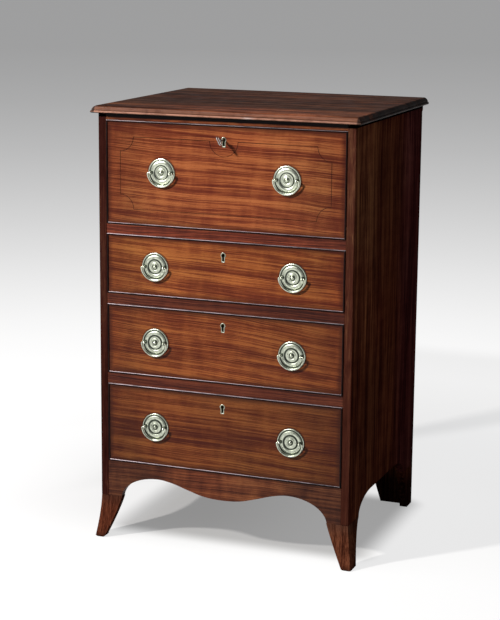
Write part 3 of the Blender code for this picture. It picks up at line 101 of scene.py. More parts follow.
class Graph:
    """A node tree that is filled in the order in which its nodes are wired."""

    def __init__(self, tree: bpy.types.NodeTree, prefix: str = "ShaderNode") -> None:
        """Empty the tree.

        Args:
            tree: the tree.
            prefix: what the types of its nodes start with.
        """
        self.tree = tree
        self.prefix = prefix
        tree.nodes.clear()

    def add(self, kind: str, inputs: dict | None = None, **settings: object) -> bpy.types.Node:
        """Add a node.

        Args:
            kind: its type, without the prefix.
            inputs: sockets to wire or values to set, by socket name or number.
            settings: options of the node.

        Returns:
            The node.
        """
        node = self.tree.nodes.new(self.prefix + kind)
        for key, value in settings.items():
            setattr(node, key, value)
        for key, value in (inputs or {}).items():
            socket = node.inputs[key]
            if isinstance(value, Socket):
                self.tree.links.new(value, socket)
            elif socket.type == "RGBA" and len(value) == 3:
                socket.default_value = (*value, 1)
            else:
                socket.default_value = value
        return node

    def maths(self, operation: str, *values: Value, clamp: bool = False) -> Socket:
        """Return the result of one operation on numbers, within 0 and 1 if clamped."""
        inputs = dict(enumerate(values))
        return self.add("Math", inputs, operation=operation, use_clamp=clamp).outputs[0]

    def times(self, first: Value, second: Value) -> Socket:
        """Return the product of two numbers."""
        return self.maths("MULTIPLY", first, second)

    def minus(self, first: Value, second: Value) -> Socket:
        """Return the first number less the second."""
        return self.maths("SUBTRACT", first, second)

    def away(self, value: Value, middle: float) -> Socket:
        """Return how far a number lies from a middle."""
        return self.maths("ABSOLUTE", self.minus(value, middle))

    def margin(self, value: Socket, span: Point) -> Socket:
        """Return how far a number lies within the nearer end of a span."""
        return self.maths("MINIMUM", self.minus(value, span[0]), self.minus(span[1], value))

    def fit(self, value: Socket, low: float, high: float, start: float = 0.0,
            end: float = 1.0) -> Socket:
        """Return a number mapped smoothly, with low giving start and high giving end."""
        inputs = {0: value, 1: low, 2: high, 3: start, 4: end}
        return self.add("MapRange", inputs, interpolation_type="SMOOTHSTEP").outputs[0]

    def split(self, vector: Socket) -> list[Socket]:
        """Return a vector's three parts."""
        return list(self.add("SeparateXYZ", {0: vector}).outputs)

    def join(self, *parts: Value) -> Socket:
        """Return a vector made of up to three parts."""
        return self.add("CombineXYZ", dict(enumerate(parts))).outputs[0]

    def length(self, *parts: Value) -> Socket:
        """Return the length of a vector of up to three parts."""
        return self.add("VectorMath", {0: self.join(*parts)}, operation="LENGTH").outputs["Value"]

    def cloud(self, parts: Sequence[Value], scales: Sequence[float], detail: float = 2.0,
              rough: float = 0.5) -> Socket:
        """Return fractal noise at a place.

        Args:
            parts: the place's three parts.
            scales: how often the noise changes along each, per metre.
            detail: octaves.
            rough: how strong the small octaves are.

        Returns:
            A number about 0.5.
        """
        place = self.add("VectorMath", {0: self.join(*parts), 1: tuple(scales)},
                         operation="MULTIPLY").outputs[0]
        inputs = {"Vector": place, "Scale": 1.0, "Detail": detail, "Roughness": rough}
        return self.add("TexNoise", inputs).outputs[0]

    def ramp(self, value: Socket, stops: Sequence[tuple[float, Colour]]) -> Socket:
        """Turn a number into a colour.

        Args:
            value: the number.
            stops: places from 0 to 1 with their colours.

        Returns:
            The colour.
        """
        node = self.add("ValToRGB", {0: value})
        elements = node.color_ramp.elements
        while len(elements) < len(stops):
            elements.new(0.5)
        for element, (place, colour) in zip(elements, stops):
            element.position = place
            element.color = (*colour, 1)
        return node.outputs[0]

    def blend(self, share: Value, first: Socket | Colour, second: Socket | Colour,
              mode: Mix = Mix.OVER) -> Socket:
        """Return a colour with a share of a second one mixed in."""
        inputs = {0: share, 6: first, 7: second}
        return self.add("Mix", inputs, data_type="RGBA", blend_type=mode.value).outputs[2]

    def seen(self) -> Socket:
        """Return 1 for the rays of the camera, gloss and glass, and 0 for all others."""
        rays = self.add("LightPath").outputs
        seen = self.maths("ADD", rays["Is Camera Ray"], rays["Is Glossy Ray"])
        return self.maths("ADD", seen, rays["Is Transmission Ray"], clamp=True)


class Finish(Graph):
    """The nodes of one material, with the colour that its layers have reached."""

    def __init__(self, name: str, colour: Colour = (0, 0, 0)) -> None:
        """Start an empty material.

        Args:
            name: its name.
            colour: its colour below all layers.
        """
        self.material = bpy.data.materials.new(name)
        self.material.use_nodes = True
        self.colour: Socket | Colour = colour
        super().__init__(self.material.node_tree)

    def cover(self, share: Value, colour: Socket | Colour, mode: Mix = Mix.OVER) -> None:
        """Lay a share of a colour over the material."""
        self.colour = self.blend(share, self.colour, colour, mode)

    def tint(self, red: Socket, rest: Socket) -> None:
        """Multiply the colour's red by one number, and the rest of it by another."""
        self.cover(1.0, self.join(red, rest, rest), Mix.TINT)

    @cached_property
    def spot(self) -> list[Socket]:
        """The X, Y and Z of the place on the piece, in its own frame."""
        return self.split(self.add("TexCoord").outputs["Object"])

    def moved(self, shift: Sequence[float], turn: Sequence[float] = (0, 0, 0)) -> list[Socket]:
        """Return the place's parts after a shift and a turn that set two pieces apart."""
        inputs = {0: self.add("TexCoord").outputs["Object"], "Location": shift, "Rotation": turn}
        return self.split(self.add("Mapping", inputs).outputs[0])

    def mottle(self, scale: float, detail: float = 2.0) -> Socket:
        """Return fractal noise that is alike in all directions."""
        return self.cloud(self.spot, (scale,) * 3, detail)

    def bump(self, height: Socket, strength: float, depth: float, **under: Socket) -> Socket:
        """Return a normal roughened by a height, of which 1 stands for the depth."""
        inputs = {"Height": height, "Strength": strength, "Distance": depth, **under}
        return self.add("Bump", inputs).outputs[0]

    def surface(self, inputs: dict) -> bpy.types.Material:
        """Finish the material with a Principled shader.

        Args:
            inputs: the shader's inputs besides its colour.

        Returns:
            The material.
        """
        shader = self.add("BsdfPrincipled", {"Base Color": self.colour, **inputs})
        self.add("OutputMaterial", {0: shader.outputs[0]})
        return self.material


class Grain(Enum):
    """How a board's grain runs: its axes along, across and through the board."""

    ACROSS = (X, Z, Y)
    UPRIGHT = (Z, Y, X)
    STANDING = (Z, X, Y)
    DEEP = (Y, X, Z)
    FLAT = (X, Y, Z)


@dataclass(frozen=True)
class Zone:
    """A part of a board past a plane, where its colour differs, with wear, dirt, its own tone,
    painted light or painted shade.

    Attributes:
        axis: X, Y or Z.
        limit: where it starts.
        soft: the width over which it comes in.
        colour: its colour.
        share: how much of that colour shows, broken up unevenly if less than 1.
        sign: +1 for the part above the limit, or -1 for the part below it.
        middle: if set, the limit is a distance from here to both sides.
        within: another zone, outside which this one doesn't show.
        mode: how its colour goes over the board's.
    """

    axis: int
    limit: float
    soft: float
    colour: Colour
    share: float = 1.0
    sign: int = 1
    middle: float | None = None
    within: "Zone | None" = None
    mode: Mix = Mix.OVER

    def mask(self, graph: Finish) -> Socket:
        """Return where the zone shows.

        Args:
            graph: the finish's nodes.

        Returns:
            Its share, from 0 to 1.
        """
        value = graph.spot[self.axis]
        if self.middle is not None:
            value = graph.away(value, self.middle)
        low = self.limit * self.sign
        share = graph.fit(graph.times(value, self.sign), low, low + self.soft, 0.0, self.share)
        return graph.times(share, self.within.mask(graph)) if self.within else share

    def lay(self, graph: Finish) -> None:
        """Lay the zone over a board.

        Args:
            graph: the finish's nodes.
        """
        share = self.mask(graph)
        if self.share < 1:
            share = graph.times(share, graph.fit(graph.mottle(60, 3.0), 0.3, 0.6, 0.55, 1))
        graph.cover(share, self.colour, self.mode)


@dataclass(frozen=True)
class Wood:
    """A wood with its polish.

    Attributes:
        dark: the dark grain's colour.
        common: the colour of most of the board.
        pale: the pale grain's colour.
        band: width of the broad bands, in metres.
        streak: width of the streaks in them, in metres.
        contrast: how far the grain leaves its common colour.
        figure: how much the light changes along the grain.
        wander: how far the streaks wave across the grain, in metres.
        veins: how dark the thin veins are.
        pores: how dark the pores are.
        specular: how much the bare wood shines.
        polish: weight of the clear polish.
        gloss: roughness of the polish.
        dull: roughness of the wood below it.
        painted_highlight: the pale colour painted on edges that face up, brightest to the left: a
            painted highlight.
        boards: width of the boards that a wide panel is joined from.
    """

    dark: Colour
    common: Colour
    pale: Colour
    band: float = 13 * MM
    streak: float = 3 * MM
    contrast: float = 1.15
    figure: float = 0.07
    wander: float = 14 * MM
    veins: float = 0.22
    pores: float = 0.45
    specular: float = 0.04
    polish: float = 0.2
    gloss: float = 0.2
    dull: float = 0.55
    painted_highlight: Colour | None = None
    boards: float | None = None

    @property
    def deep(self) -> Colour:
        """The colour of the darkest veins and pores, of the darkening along a front's bead, and of
        painted shade round the handles.
        """
        return tuple(part * 0.45 for part in self.dark)

    def toned(self, share: float, blue: float = 1.0) -> "Wood":
        """Return a board of the same wood in another tone.

        Args:
            share: its brightness, as a share of this one's.
            blue: how much of its blue it keeps besides.

        Returns:
            The wood.
        """
        tint = (share, share, share * blue)
        tones = {name: tuple(part * by for part, by in zip(getattr(self, name), tint))
                 for name in ("dark", "common", "pale")}
        return replace(self, **tones)

    def dress(self, name: str, grain: Grain, seed: float, slope: float = 0.0,
              zones: Sequence[Zone] = (), panel: Panel | None = None,
              plates: Sequence[Point] = ()) -> bpy.types.Material:
        """Make one board's material.

        Args:
            name: the material's name.
            grain: how the grain runs.
            seed: a number that sets this board apart.
            slope: how far the grain leans in the board's face, in radians.
            zones: parts with worn, dirty or toned wood, and parts with painted light or shade.
            panel: the X and Z spans of a front, which darkens towards its bead.
            plates: the X and Z of handles, with painted shade round their plates.

        Returns:
            The material.
        """
        graph = Finish(name)
        relief = self.grow(graph, grain, seed, slope)
        if panel:
            self.darken_edges(graph, panel)
        for x, z in plates:
            away = graph.length(graph.minus(graph.spot[X], x), graph.minus(graph.spot[Z], z))
            # A ring of painted shade round each plate
            graph.cover(graph.fit(away, *PLATE_SHADE_RING, 0.75, 0.0), self.deep)
        for zone in zones:
            zone.lay(graph)
        if self.painted_highlight:
            self.lay_painted_highlight(graph)
        if self.boards:
            self.joint(graph, graph.spot[grain.value[1]])
        rough = graph.fit(graph.mottle(22, 4.0), 0.3, 0.7, self.dull - 0.08, self.dull + 0.08)
        sag = graph.bump(graph.mottle(7), 0.35, 1.2 * MM)
        return graph.surface({
            "Roughness": rough, "Normal": graph.bump(relief, 0.25, 0.12 * MM, Normal=sag),
            "Specular IOR Level": self.specular, "Coat Weight": self.polish,
            "Coat Roughness": self.gloss, "Coat Normal": sag,
        })

    def grow(self, graph: Finish, grain: Grain, seed: float, slope: float) -> Socket:
        """Grow a board's grain: bands, streaks, flecks and curl, then veins and pores.

        Args:
            graph: the finish's nodes.
            grain: how the grain runs.
            seed: a number that sets this board apart.
            slope: how far the grain leans, in radians.

        Returns:
            Its relief.
        """
        spot = graph.moved((seed * 1.37, seed * 2.11, seed * 0.73), (0, slope, 0))
        along, across, through = board = [spot[axis] for axis in grain.value]
        wave = graph.minus(graph.cloud(board, (2.4, 4, 4), 1.0), 0.5)
        ripple = graph.minus(graph.cloud(board, (13, 24, 20)), 0.5)
        bend = graph.maths("MULTIPLY_ADD", wave, self.wander * 2, across)
        bend = graph.maths("MULTIPLY_ADD", ripple, self.streak * 1.6, bend)
        fibre = (along, bend, through)
        wide, thin = 1 / self.band, 1 / self.streak
        bands = graph.cloud(fibre, (2.4, wide, wide * 0.5), 3.0)
        streaks = graph.cloud(fibre, (3.6, thin, thin * 0.5), 4.0, 0.7)
        flecks = graph.cloud(fibre, (10, thin * 3, thin * 2), 2.0, 0.6)
        curl = graph.minus(graph.cloud(fibre, (38, 14, 7)), 0.5)
        total = graph.times(bands, 0.3)
        for part, share in ((streaks, 0.36), (flecks, 0.34), (curl, self.figure)):
            total = graph.maths("MULTIPLY_ADD", part, share, total)
        reach = 0.14 / self.contrast
        graph.colour = graph.ramp(graph.fit(total, 0.5 - reach, 0.5 + reach), [
            (0.0, self.dark), (0.5, self.common), (1.0, self.pale)])
        vein = graph.cloud(fibre, (2.6, thin * 2, thin), 2.0, 0.6)
        graph.cover(graph.fit(vein, 0.58, 0.66, 0.0, self.veins), self.deep)
        pore = graph.fit(graph.cloud(fibre, (120, 2600, 2600), 1.0), 0.58, 0.68)
        graph.cover(graph.times(pore, self.pores), self.deep)
        shade = graph.fit(graph.cloud(board, (2.5, 5, 5), 3.0), 0.3, 0.7, 0.84, 1.12)
        graph.tint(shade, graph.times(shade, graph.fit(graph.mottle(3), 0.35, 0.65, 0.9, 1.06)))
        return graph.maths("MULTIPLY_ADD", pore, -0.6, flecks)

    def darken_edges(self, graph: Finish, panel: Panel) -> None:
        """Darken a front towards its ends, and in a broken band along its bead.

        Args:
            graph: the finish's nodes.
            panel: the front's X and Z spans.
        """
        ends = graph.margin(graph.spot[X], panel[0])
        nearest = graph.maths("MINIMUM", ends, graph.margin(graph.spot[Z], panel[1]))
        shade = graph.fit(ends, 0.0, 0.13, 0.72, 1.0)
        graph.tint(shade, graph.times(shade, graph.fit(ends, 0.0, 0.06, 0.85, 1.0)))
        edge = graph.maths("MULTIPLY_ADD", graph.mottle(30, 3.0), -9 * MM, nearest)
        graph.cover(graph.fit(edge, -3 * MM, 9 * MM, 0.7, 0.0), self.deep)

    def lay_painted_highlight(self, graph: Finish) -> None:
        """Lay a painted highlight on the edges that face up, brightest to the left.

        Args:
            graph: the finish's nodes.
        """
        up = graph.split(graph.add("TexCoord").outputs["Normal"])[Z]
        broken = graph.cloud(graph.spot, (22, 300, 300), 3.0, 0.7)
        share = graph.times(graph.fit(up, 0.16, 0.42), graph.fit(broken, 0.3, 0.55, 0.2, 1.0))
        share = graph.times(share, graph.fit(graph.spot[X], -0.29, 0.2, 1.0, 0.45))
        graph.cover(share, self.painted_highlight)

    def joint(self, graph: Finish, across: Socket) -> None:
        """Part a panel into boards of slightly different tones, with dark gaps.

        Args:
            graph: the finish's nodes.
            across: the place across the boards.
        """
        count = graph.maths("DIVIDE", across, self.boards)
        number = graph.maths("FLOOR", count)
        tone = graph.add("TexWhiteNoise", {"W": number}, noise_dimensions="1D").outputs["Value"]
        shade = graph.fit(tone, 0.0, 1.0, 0.72, 1.08)
        graph.tint(shade, shade)
        middle = graph.away(graph.maths("FRACT", count), 0.5)
        graph.cover(graph.fit(middle, 0.5 - BOARD_GAP / self.boards, 0.5, 0.0, 0.9), BLACK_GAPS_AND_SHADE)


@dataclass(frozen=True)
class Metal:
    """A worn metal.

    Attributes:
        bright: colour of the rubbed metal.
        tarnish: colour where it is dull.
        rough: roughness of the rubbed metal.
        grime_and_shade: share of tarnish where nothing rubs it, raised on the lower handles as
            painted shade.
        ring: how wide the dirt lies in its grooves, as a share of their width, widened on the lower
            handles as painted shade.
    """

    bright: Colour
    tarnish: Colour
    rough: float = 0.2
    grime_and_shade: float = 0.35
    ring: float = 1.0

    def toned(self, share: float) -> "Metal":
        """Return the same metal darker, with more tarnish and wider dirty grooves; on the lower
        drawers' handles this is painted shade.
        """
        return replace(self, bright=tuple(part * (0.6 + 0.4 * share) for part in self.bright),
                       grime_and_shade=self.grime_and_shade + 0.6 * (1 - share), ring=1 + 1.3 * (1 - share))

    def dress(self, name: str, seed: float, grooves: Sequence[Point] = (),
              post: float | None = None, depth: float | None = None) -> bpy.types.Material:
        """Make the metal's material.

        Args:
            name: the material's name.
            seed: a number that sets this piece apart.
            grooves: radii about the piece's own -Y axis where dirt lies, each with its width.
            post: how far two posts stand from that axis, with dirt and painted shade round their
                feet.
            depth: a Y behind which the metal is painted near-black for 12 mm, as painted shade
                inside the keyhole.

        Returns:
            The material.
        """
        graph = Finish(name, self.bright)
        right, back, up = graph.spot
        spot = graph.moved((seed * 0.31, seed * 0.17, seed * 0.23))
        cloud = graph.cloud(spot, (160,) * 3, 4.0, 0.65)
        fine = graph.cloud(spot, (900,) * 3, 3.0, 0.6)
        dirt = graph.fit(cloud, 0.42, 0.72, 0.0, self.grime_and_shade)
        for radius, width in grooves:
            gap = graph.away(graph.length(right, up), radius)
            ring = graph.fit(gap, width * 0.35 * self.ring, width * self.ring, 0.94, 0.0)
            dirt = graph.maths("MAXIMUM", dirt, ring)
        # Dirt and painted shade round the posts' feet
        if post is not None:
            aside = graph.length(graph.minus(graph.away(right, 0.0), post), up)
            foot = graph.times(graph.fit(aside, 3.4 * MM, 6.4 * MM, 0.94, 0.0),
                               graph.fit(back, -4.2 * MM, -3.6 * MM))
            dirt = graph.maths("MAXIMUM", dirt, foot)
        graph.cover(dirt, self.tarnish)
        graph.cover(graph.fit(fine, 0.6, 0.72, 0.0, 0.4), self.tarnish)
        # Painted shade inside the keyhole: near-black behind the face
        if depth is not None:
            dark = graph.times(graph.fit(back, depth, depth + 1 * MM),
                               graph.fit(back, depth + 12 * MM, depth + 13 * MM, 1.0, 0.0))
            graph.cover(dark, (0.002,) * 3)
        rubbed = graph.fit(fine, 0.3, 0.7, self.rough, self.rough + 0.12)
        rough = graph.maths("MULTIPLY_ADD", dirt, 0.35, rubbed)
        return graph.surface({"Metallic": 1.0, "Roughness": rough,
                              "Normal": graph.bump(cloud, 0.3, 0.15 * MM)})


@dataclass(frozen=True)
class Leather:
    """A tooled leather skiver.

    Attributes:
        colour: the leather's colour.
        worn: its colour where hands rubbed it.
        gilt: the tooled line's colour.
    """

    colour: Colour
    worn: Colour
    gilt: Colour

    def dress(self, name: str, panel: Panel) -> bpy.types.Material:
        """Make the writing surface's material, with a gilt line round it.

        Args:
            name: the material's name.
            panel: the X and Z spans of the leather.

        Returns:
            The material.
        """
        graph = Finish(name, self.colour)
        nearest = graph.maths("MINIMUM", graph.margin(graph.spot[X], panel[0]),
                              graph.margin(graph.spot[Z], panel[1]))
        graph.cover(graph.fit(graph.mottle(14, 4.0), 0.42, 0.68, 0.0, 0.6), self.worn)
        line = graph.fit(graph.away(nearest, 9 * MM), 0.5 * MM, 0.8 * MM, 0.8, 0.0)
        graph.cover(graph.times(line, graph.fit(graph.mottle(90), 0.35, 0.5, 0.3, 1.0)), self.gilt)
        cells = graph.add("TexVoronoi", {"Vector": graph.join(*graph.spot), "Scale": 900.0})
        normal = graph.bump(cells.outputs["Distance"], 0.35, 0.2 * MM)
        return graph.surface({"Roughness": 0.48, "Normal": normal, "Specular IOR Level": 0.35})


FRONT_WOOD = Wood(screen(95, 38, 25), screen(139, 72, 40), screen(178, 108, 62),
                  streak=2.4 * MM, figure=0.1, contrast=1.65, veins=0.3)
RAIL_WOOD = Wood(screen(40, 14, 10), screen(96, 42, 28), screen(138, 74, 48))
SIDE_WOOD = Wood(screen(42, 15, 10), screen(91, 42, 30), screen(138, 80, 52), band=22 * MM,
                 streak=3.6 * MM, specular=0.0, polish=0.0, dull=0.7)
FOOT_WOOD = Wood(screen(52, 24, 16), screen(100, 54, 37), screen(136, 82, 58), specular=0.0,
                 polish=0.0)
TOP_WOOD = Wood(screen(26, 12, 7), screen(54, 27, 16), screen(106, 64, 42), band=24 * MM,
                streak=3.4 * MM, polish=0.06)
APRON_WOOD = Wood(screen(54, 22, 12), screen(104, 53, 32), screen(142, 84, 50), band=17 * MM,
                  figure=0.2)
# The beads' pale colour on their upward edges is a painted highlight
BEAD_WOOD = Wood(screen(10, 5, 5), screen(22, 9, 8), screen(42, 20, 16), streak=2 * MM,
                 polish=0.12, gloss=0.3, painted_highlight=screen(240, 222, 228))
STRING_WOOD = Wood(screen(16, 7, 5), screen(32, 14, 10), screen(84, 40, 22), band=30 * MM)
OAK = Wood(screen(96, 66, 38), screen(146, 108, 68), screen(176, 138, 94), streak=3.6 * MM,
           polish=0.04, gloss=0.5, dull=0.7)
PINE = Wood(screen(96, 64, 38), screen(140, 102, 66), screen(172, 134, 92), streak=8 * MM,
            band=50 * MM, polish=0.0, dull=0.8, pores=0.2, boards=112 * MM)
GILT_BRASS = Metal(screen(220, 226, 206), screen(26, 36, 28), 0.17)
DARK_BRASS = Metal(screen(190, 170, 116), screen(64, 56, 36), 0.3, 0.6)
STEEL = Metal(screen(206, 204, 202), screen(40, 38, 40), grime_and_shade=0.75)
SKIVER = Leather(screen(26, 46, 32), screen(52, 66, 44), screen(188, 150, 84))

# Near-black for the gaps between boards, and for painted shade under the top's moulding and on the
# top's ends
BLACK_GAPS_AND_SHADE = screen(16, 6, 3)
TOE_WEAR = screen(48, 24, 15)
WORN_EDGE = screen(124, 84, 66)
# The top's nose, rubbed pale, with a painted highlight along it
BRIGHT_NOSE = screen(176, 130, 110)
# A painted gloss spot on the top's nose
PAINTED_GLOSS_SPOT = screen(206, 192, 190)
STILE_WOOD = {"left": screen(52, 24, 20), "right": screen(76, 40, 30)}
STILE_TINT = (0.42, 0.5, 0.66)
# Painted shade on the rear feet's lower part
REAR_FOOT_SHADE = (0.42, 0.52, 0.66)
FOOT_HEAD_SHADE = (0.62, 0.72, 0.86)
APRON_END_SHADE = (0.52, 0.54, 0.6)


def shown(mesh: bpy.types.Mesh, name: str, body: str, material: bpy.types.Material,
          seat: Sequence[float] = (0, 0, 0)) -> bpy.types.Object:
    """Put a piece in the scene, on the body that it moves with.

    Args:
        mesh: its mesh, round its own seat.
        name: the piece's name.
        body: the body it rides on.
        material: its finish.
        seat: where its origin stands.

    Returns:
        The piece.
    """
    mesh.materials.clear()
    mesh.materials.append(material)
    piece = bpy.data.objects.new(name, mesh)
    bpy.context.scene.collection.objects.link(piece)
    piece.location = seat
    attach(piece, body)
    log.info("made %s", name)
    return piece


def mesh_of(shape: bmesh.types.BMesh, name: str, smooth: bool = True) -> bpy.types.Mesh:
    """Turn a bmesh into a mesh whose faces point out.

    Args:
        shape: the bmesh, which is freed.
        name: the mesh's name.
        smooth: shade it smooth.

    Returns:
        The mesh.
    """
    bmesh.ops.recalc_face_normals(shape, faces=shape.faces)
    for face in shape.faces:
        face.smooth = smooth
    mesh = bpy.data.meshes.new(name)
    shape.to_mesh(mesh)
    shape.free()
    return mesh


class Ends(Enum):
    """What becomes of a skin's first and last rows."""

    OPEN = "nothing"
    CAPPED = "a face closes each"
    LOOPED = "they are skinned to each other"


def skin(rows: Sequence[Sequence[Vector]], name: str, ends: Ends, ringed: bool = True,
         smooth: bool = True) -> bpy.types.Mesh:
    """Skin rows of as many points each.

    Args:
        rows: the rows, in order.
        name: the mesh's name.
        ends: what becomes of the first and last rows.
        ringed: each row is a ring.
        smooth: shade it smooth.

    Returns:
        The mesh.
    """
    shape = bmesh.new()
    verts = [[shape.verts.new(point) for point in row] for row in rows]
    pairs = list(zip(verts, verts[1:]))
    if ends is Ends.LOOPED:
        pairs.append((verts[-1], verts[0]))
    count = len(verts[0])
    for lower, upper in pairs:
        for index in range(count if ringed else count - 1):
            after = (index + 1) % count
            shape.faces.new((lower[index], lower[after], upper[after], upper[index]))
    if ends is Ends.CAPPED:
        shape.faces.new(verts[0])
        shape.faces.new(verts[-1])
    return mesh_of(shape, name, smooth)


def turned(profile: Sequence[Point], name: str, steps: int, uneven: float = 0.0,
           seed: float = 0.0) -> bpy.types.Mesh:
    """Turn a profile about the -Y axis.

    Args:
        profile: radius and height of each point, from the middle out.
        name: the mesh's name.
        steps: facets round.
        uneven: how far the surface leaves true, in metres.
        seed: a number that sets this piece apart.

    Returns:
        The mesh.
    """
    rows = []
    for step in range(steps):
        angle = 2 * math.pi * step / steps
        row = []
        for radius, height in profile:
            point = Vector((radius * math.cos(angle), -height, radius * math.sin(angle)))
            dent = noise.noise(point * 120 + Vector((seed * 7.1, seed * 3.3, seed)))
            row.append(point + Vector((0, dent * uneven * min(1, radius / (4 * MM)), 0)))
        rows.append(row)
    shape = bmesh.new()
    shape.from_mesh(skin(rows, name, Ends.LOOPED, ringed=False))
    bmesh.ops.remove_doubles(shape, verts=shape.verts, dist=1e-6)
    return mesh_of(shape, name)


def swept(path: Sequence[Vector], radii: Sequence[float], name: str, sides: int,
          ends: Ends = Ends.CAPPED, flat: float = 1.0,
          up: Vector = Vector((0, 1, 0))) -> bpy.types.Mesh:
    """Sweep a round or flattened section along a path.

    Args:
        path: the path's points.
        radii: the radius at each.
        name: the mesh's name.
        sides: facets round.
        ends: whether the path is a ring or capped.
        flat: the section's thickness along up, as a share of its width.
        up: a direction square to the whole path.

    Returns:
        The mesh.
    """
    rows = []
    count = len(path)
    looped = ends is Ends.LOOPED
    angles = [2 * math.pi * side / sides for side in range(sides)]
    for index, (point, radius) in enumerate(zip(path, radii)):
        before = path[index - 1] if index or looped else point
        after = path[(index + 1) % count] if index + 1 < count or looped else point
        across = (after - before).normalized().cross(up).normalized()
        rows.append([point + across * math.cos(angle) * radius
                     + up * math.sin(angle) * radius * flat for angle in angles])
    return skin(rows, name, ends)


def smoothed(points: Sequence[Point], steps: int) -> list[Point]:
    """Return a smooth line through points.

    Args:
        points: the points.
        steps: how many pieces each span is cut into.

    Returns:
        The line's points.
    """
    padded = [points[0], *points, points[-1]]
    line = []
    for a, b, c, d in zip(padded, padded[1:], padded[2:], padded[3:]):
        for step in range(steps):
            t = step / steps
            line.append(tuple(
                q + (r - p) / 2 * t + (p - 2.5 * q + 2 * r - s / 2) * t * t
                + (1.5 * q - p / 2 - 1.5 * r + s / 2) * t ** 3
                for p, q, r, s in zip(a, b, c, d)
            ))
    return [*line, tuple(points[-1])]


def arc(centre: Point, radius: float, start: float, end: float, steps: int) -> list[Point]:
    """Return points on an arc.

    Args:
        centre: its centre.
        radius: its radius.
        start: the first angle, in degrees.
        end: the last angle, in degrees.
        steps: how many pieces it is cut into.

    Returns:
        The points.
    """
    angles = [math.radians(start + (end - start) * step / steps) for step in range(steps + 1)]
    return [(centre[0] + radius * math.cos(angle), centre[1] + radius * math.sin(angle))
            for angle in angles]


def eased_arris() -> bpy.types.NodeTree:
    """Return the node group that welds a solid and smooths its flat bends."""
    tree = bpy.data.node_groups.new("eased_arris", "GeometryNodeTree")
    for way in ("INPUT", "OUTPUT"):
        tree.interface.new_socket("Geometry", in_out=way, socket_type="NodeSocketGeometry")
    graph = Graph(tree, "")
    start = graph.add("NodeGroupInput").outputs[0]
    weld = graph.add("GeometryNodeMergeByDistance", {0: start, "Distance": WELD}).outputs[0]
    angle = graph.add("GeometryNodeInputMeshEdgeAngle").outputs["Unsigned Angle"]
    sharp = graph.add("FunctionNodeCompare", {0: angle, 1: ARRIS_ANGLE}, operation="GREATER_THAN")
    shade = graph.add("GeometryNodeSetMeshNormal", {
        "Mesh": weld, "Edge Sharpness": sharp.outputs[0], "Remove Custom": True},
        mode="SHARPNESS")
    graph.add("NodeGroupOutput", {0: shade.outputs[0]})
    return tree


@dataclass
class Workshop:
    """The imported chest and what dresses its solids.

    Attributes:
        nodes: the solids by name.
        arris: the node group that eases them.
    """

    nodes: dict
    arris: bpy.types.NodeTree

    def dress(self, name: str, finish: Wood | Metal, *grown: object, ease: float = 0.0,
              **worn: object) -> None:
        """Give a solid its finish and ease its arrises.

        Args:
            name: the solid's name.
            finish: its wood or metal.
            grown: what the finish's own dress method takes next.
            ease: the arris's width, in metres.
            worn: what that method takes by name.
        """
        item = self.nodes[name]
        item.material_slots[0].material = finish.dress(name, *grown, **worn)
        item.modifiers.new("eased_arris", "NODES").node_group = self.arris
        if ease:
            bevel = item.modifiers.new("arris", "BEVEL")
            bevel.width = ease
            bevel.segments = 2
            bevel.limit_method = "ANGLE"
            bevel.angle_limit = ARRIS_ANGLE
            bevel.harden_normals = False
            item.modifiers.new("flat_faces", "WEIGHTED_NORMAL").keep_sharp = True
        log.info("dressed %s", name)


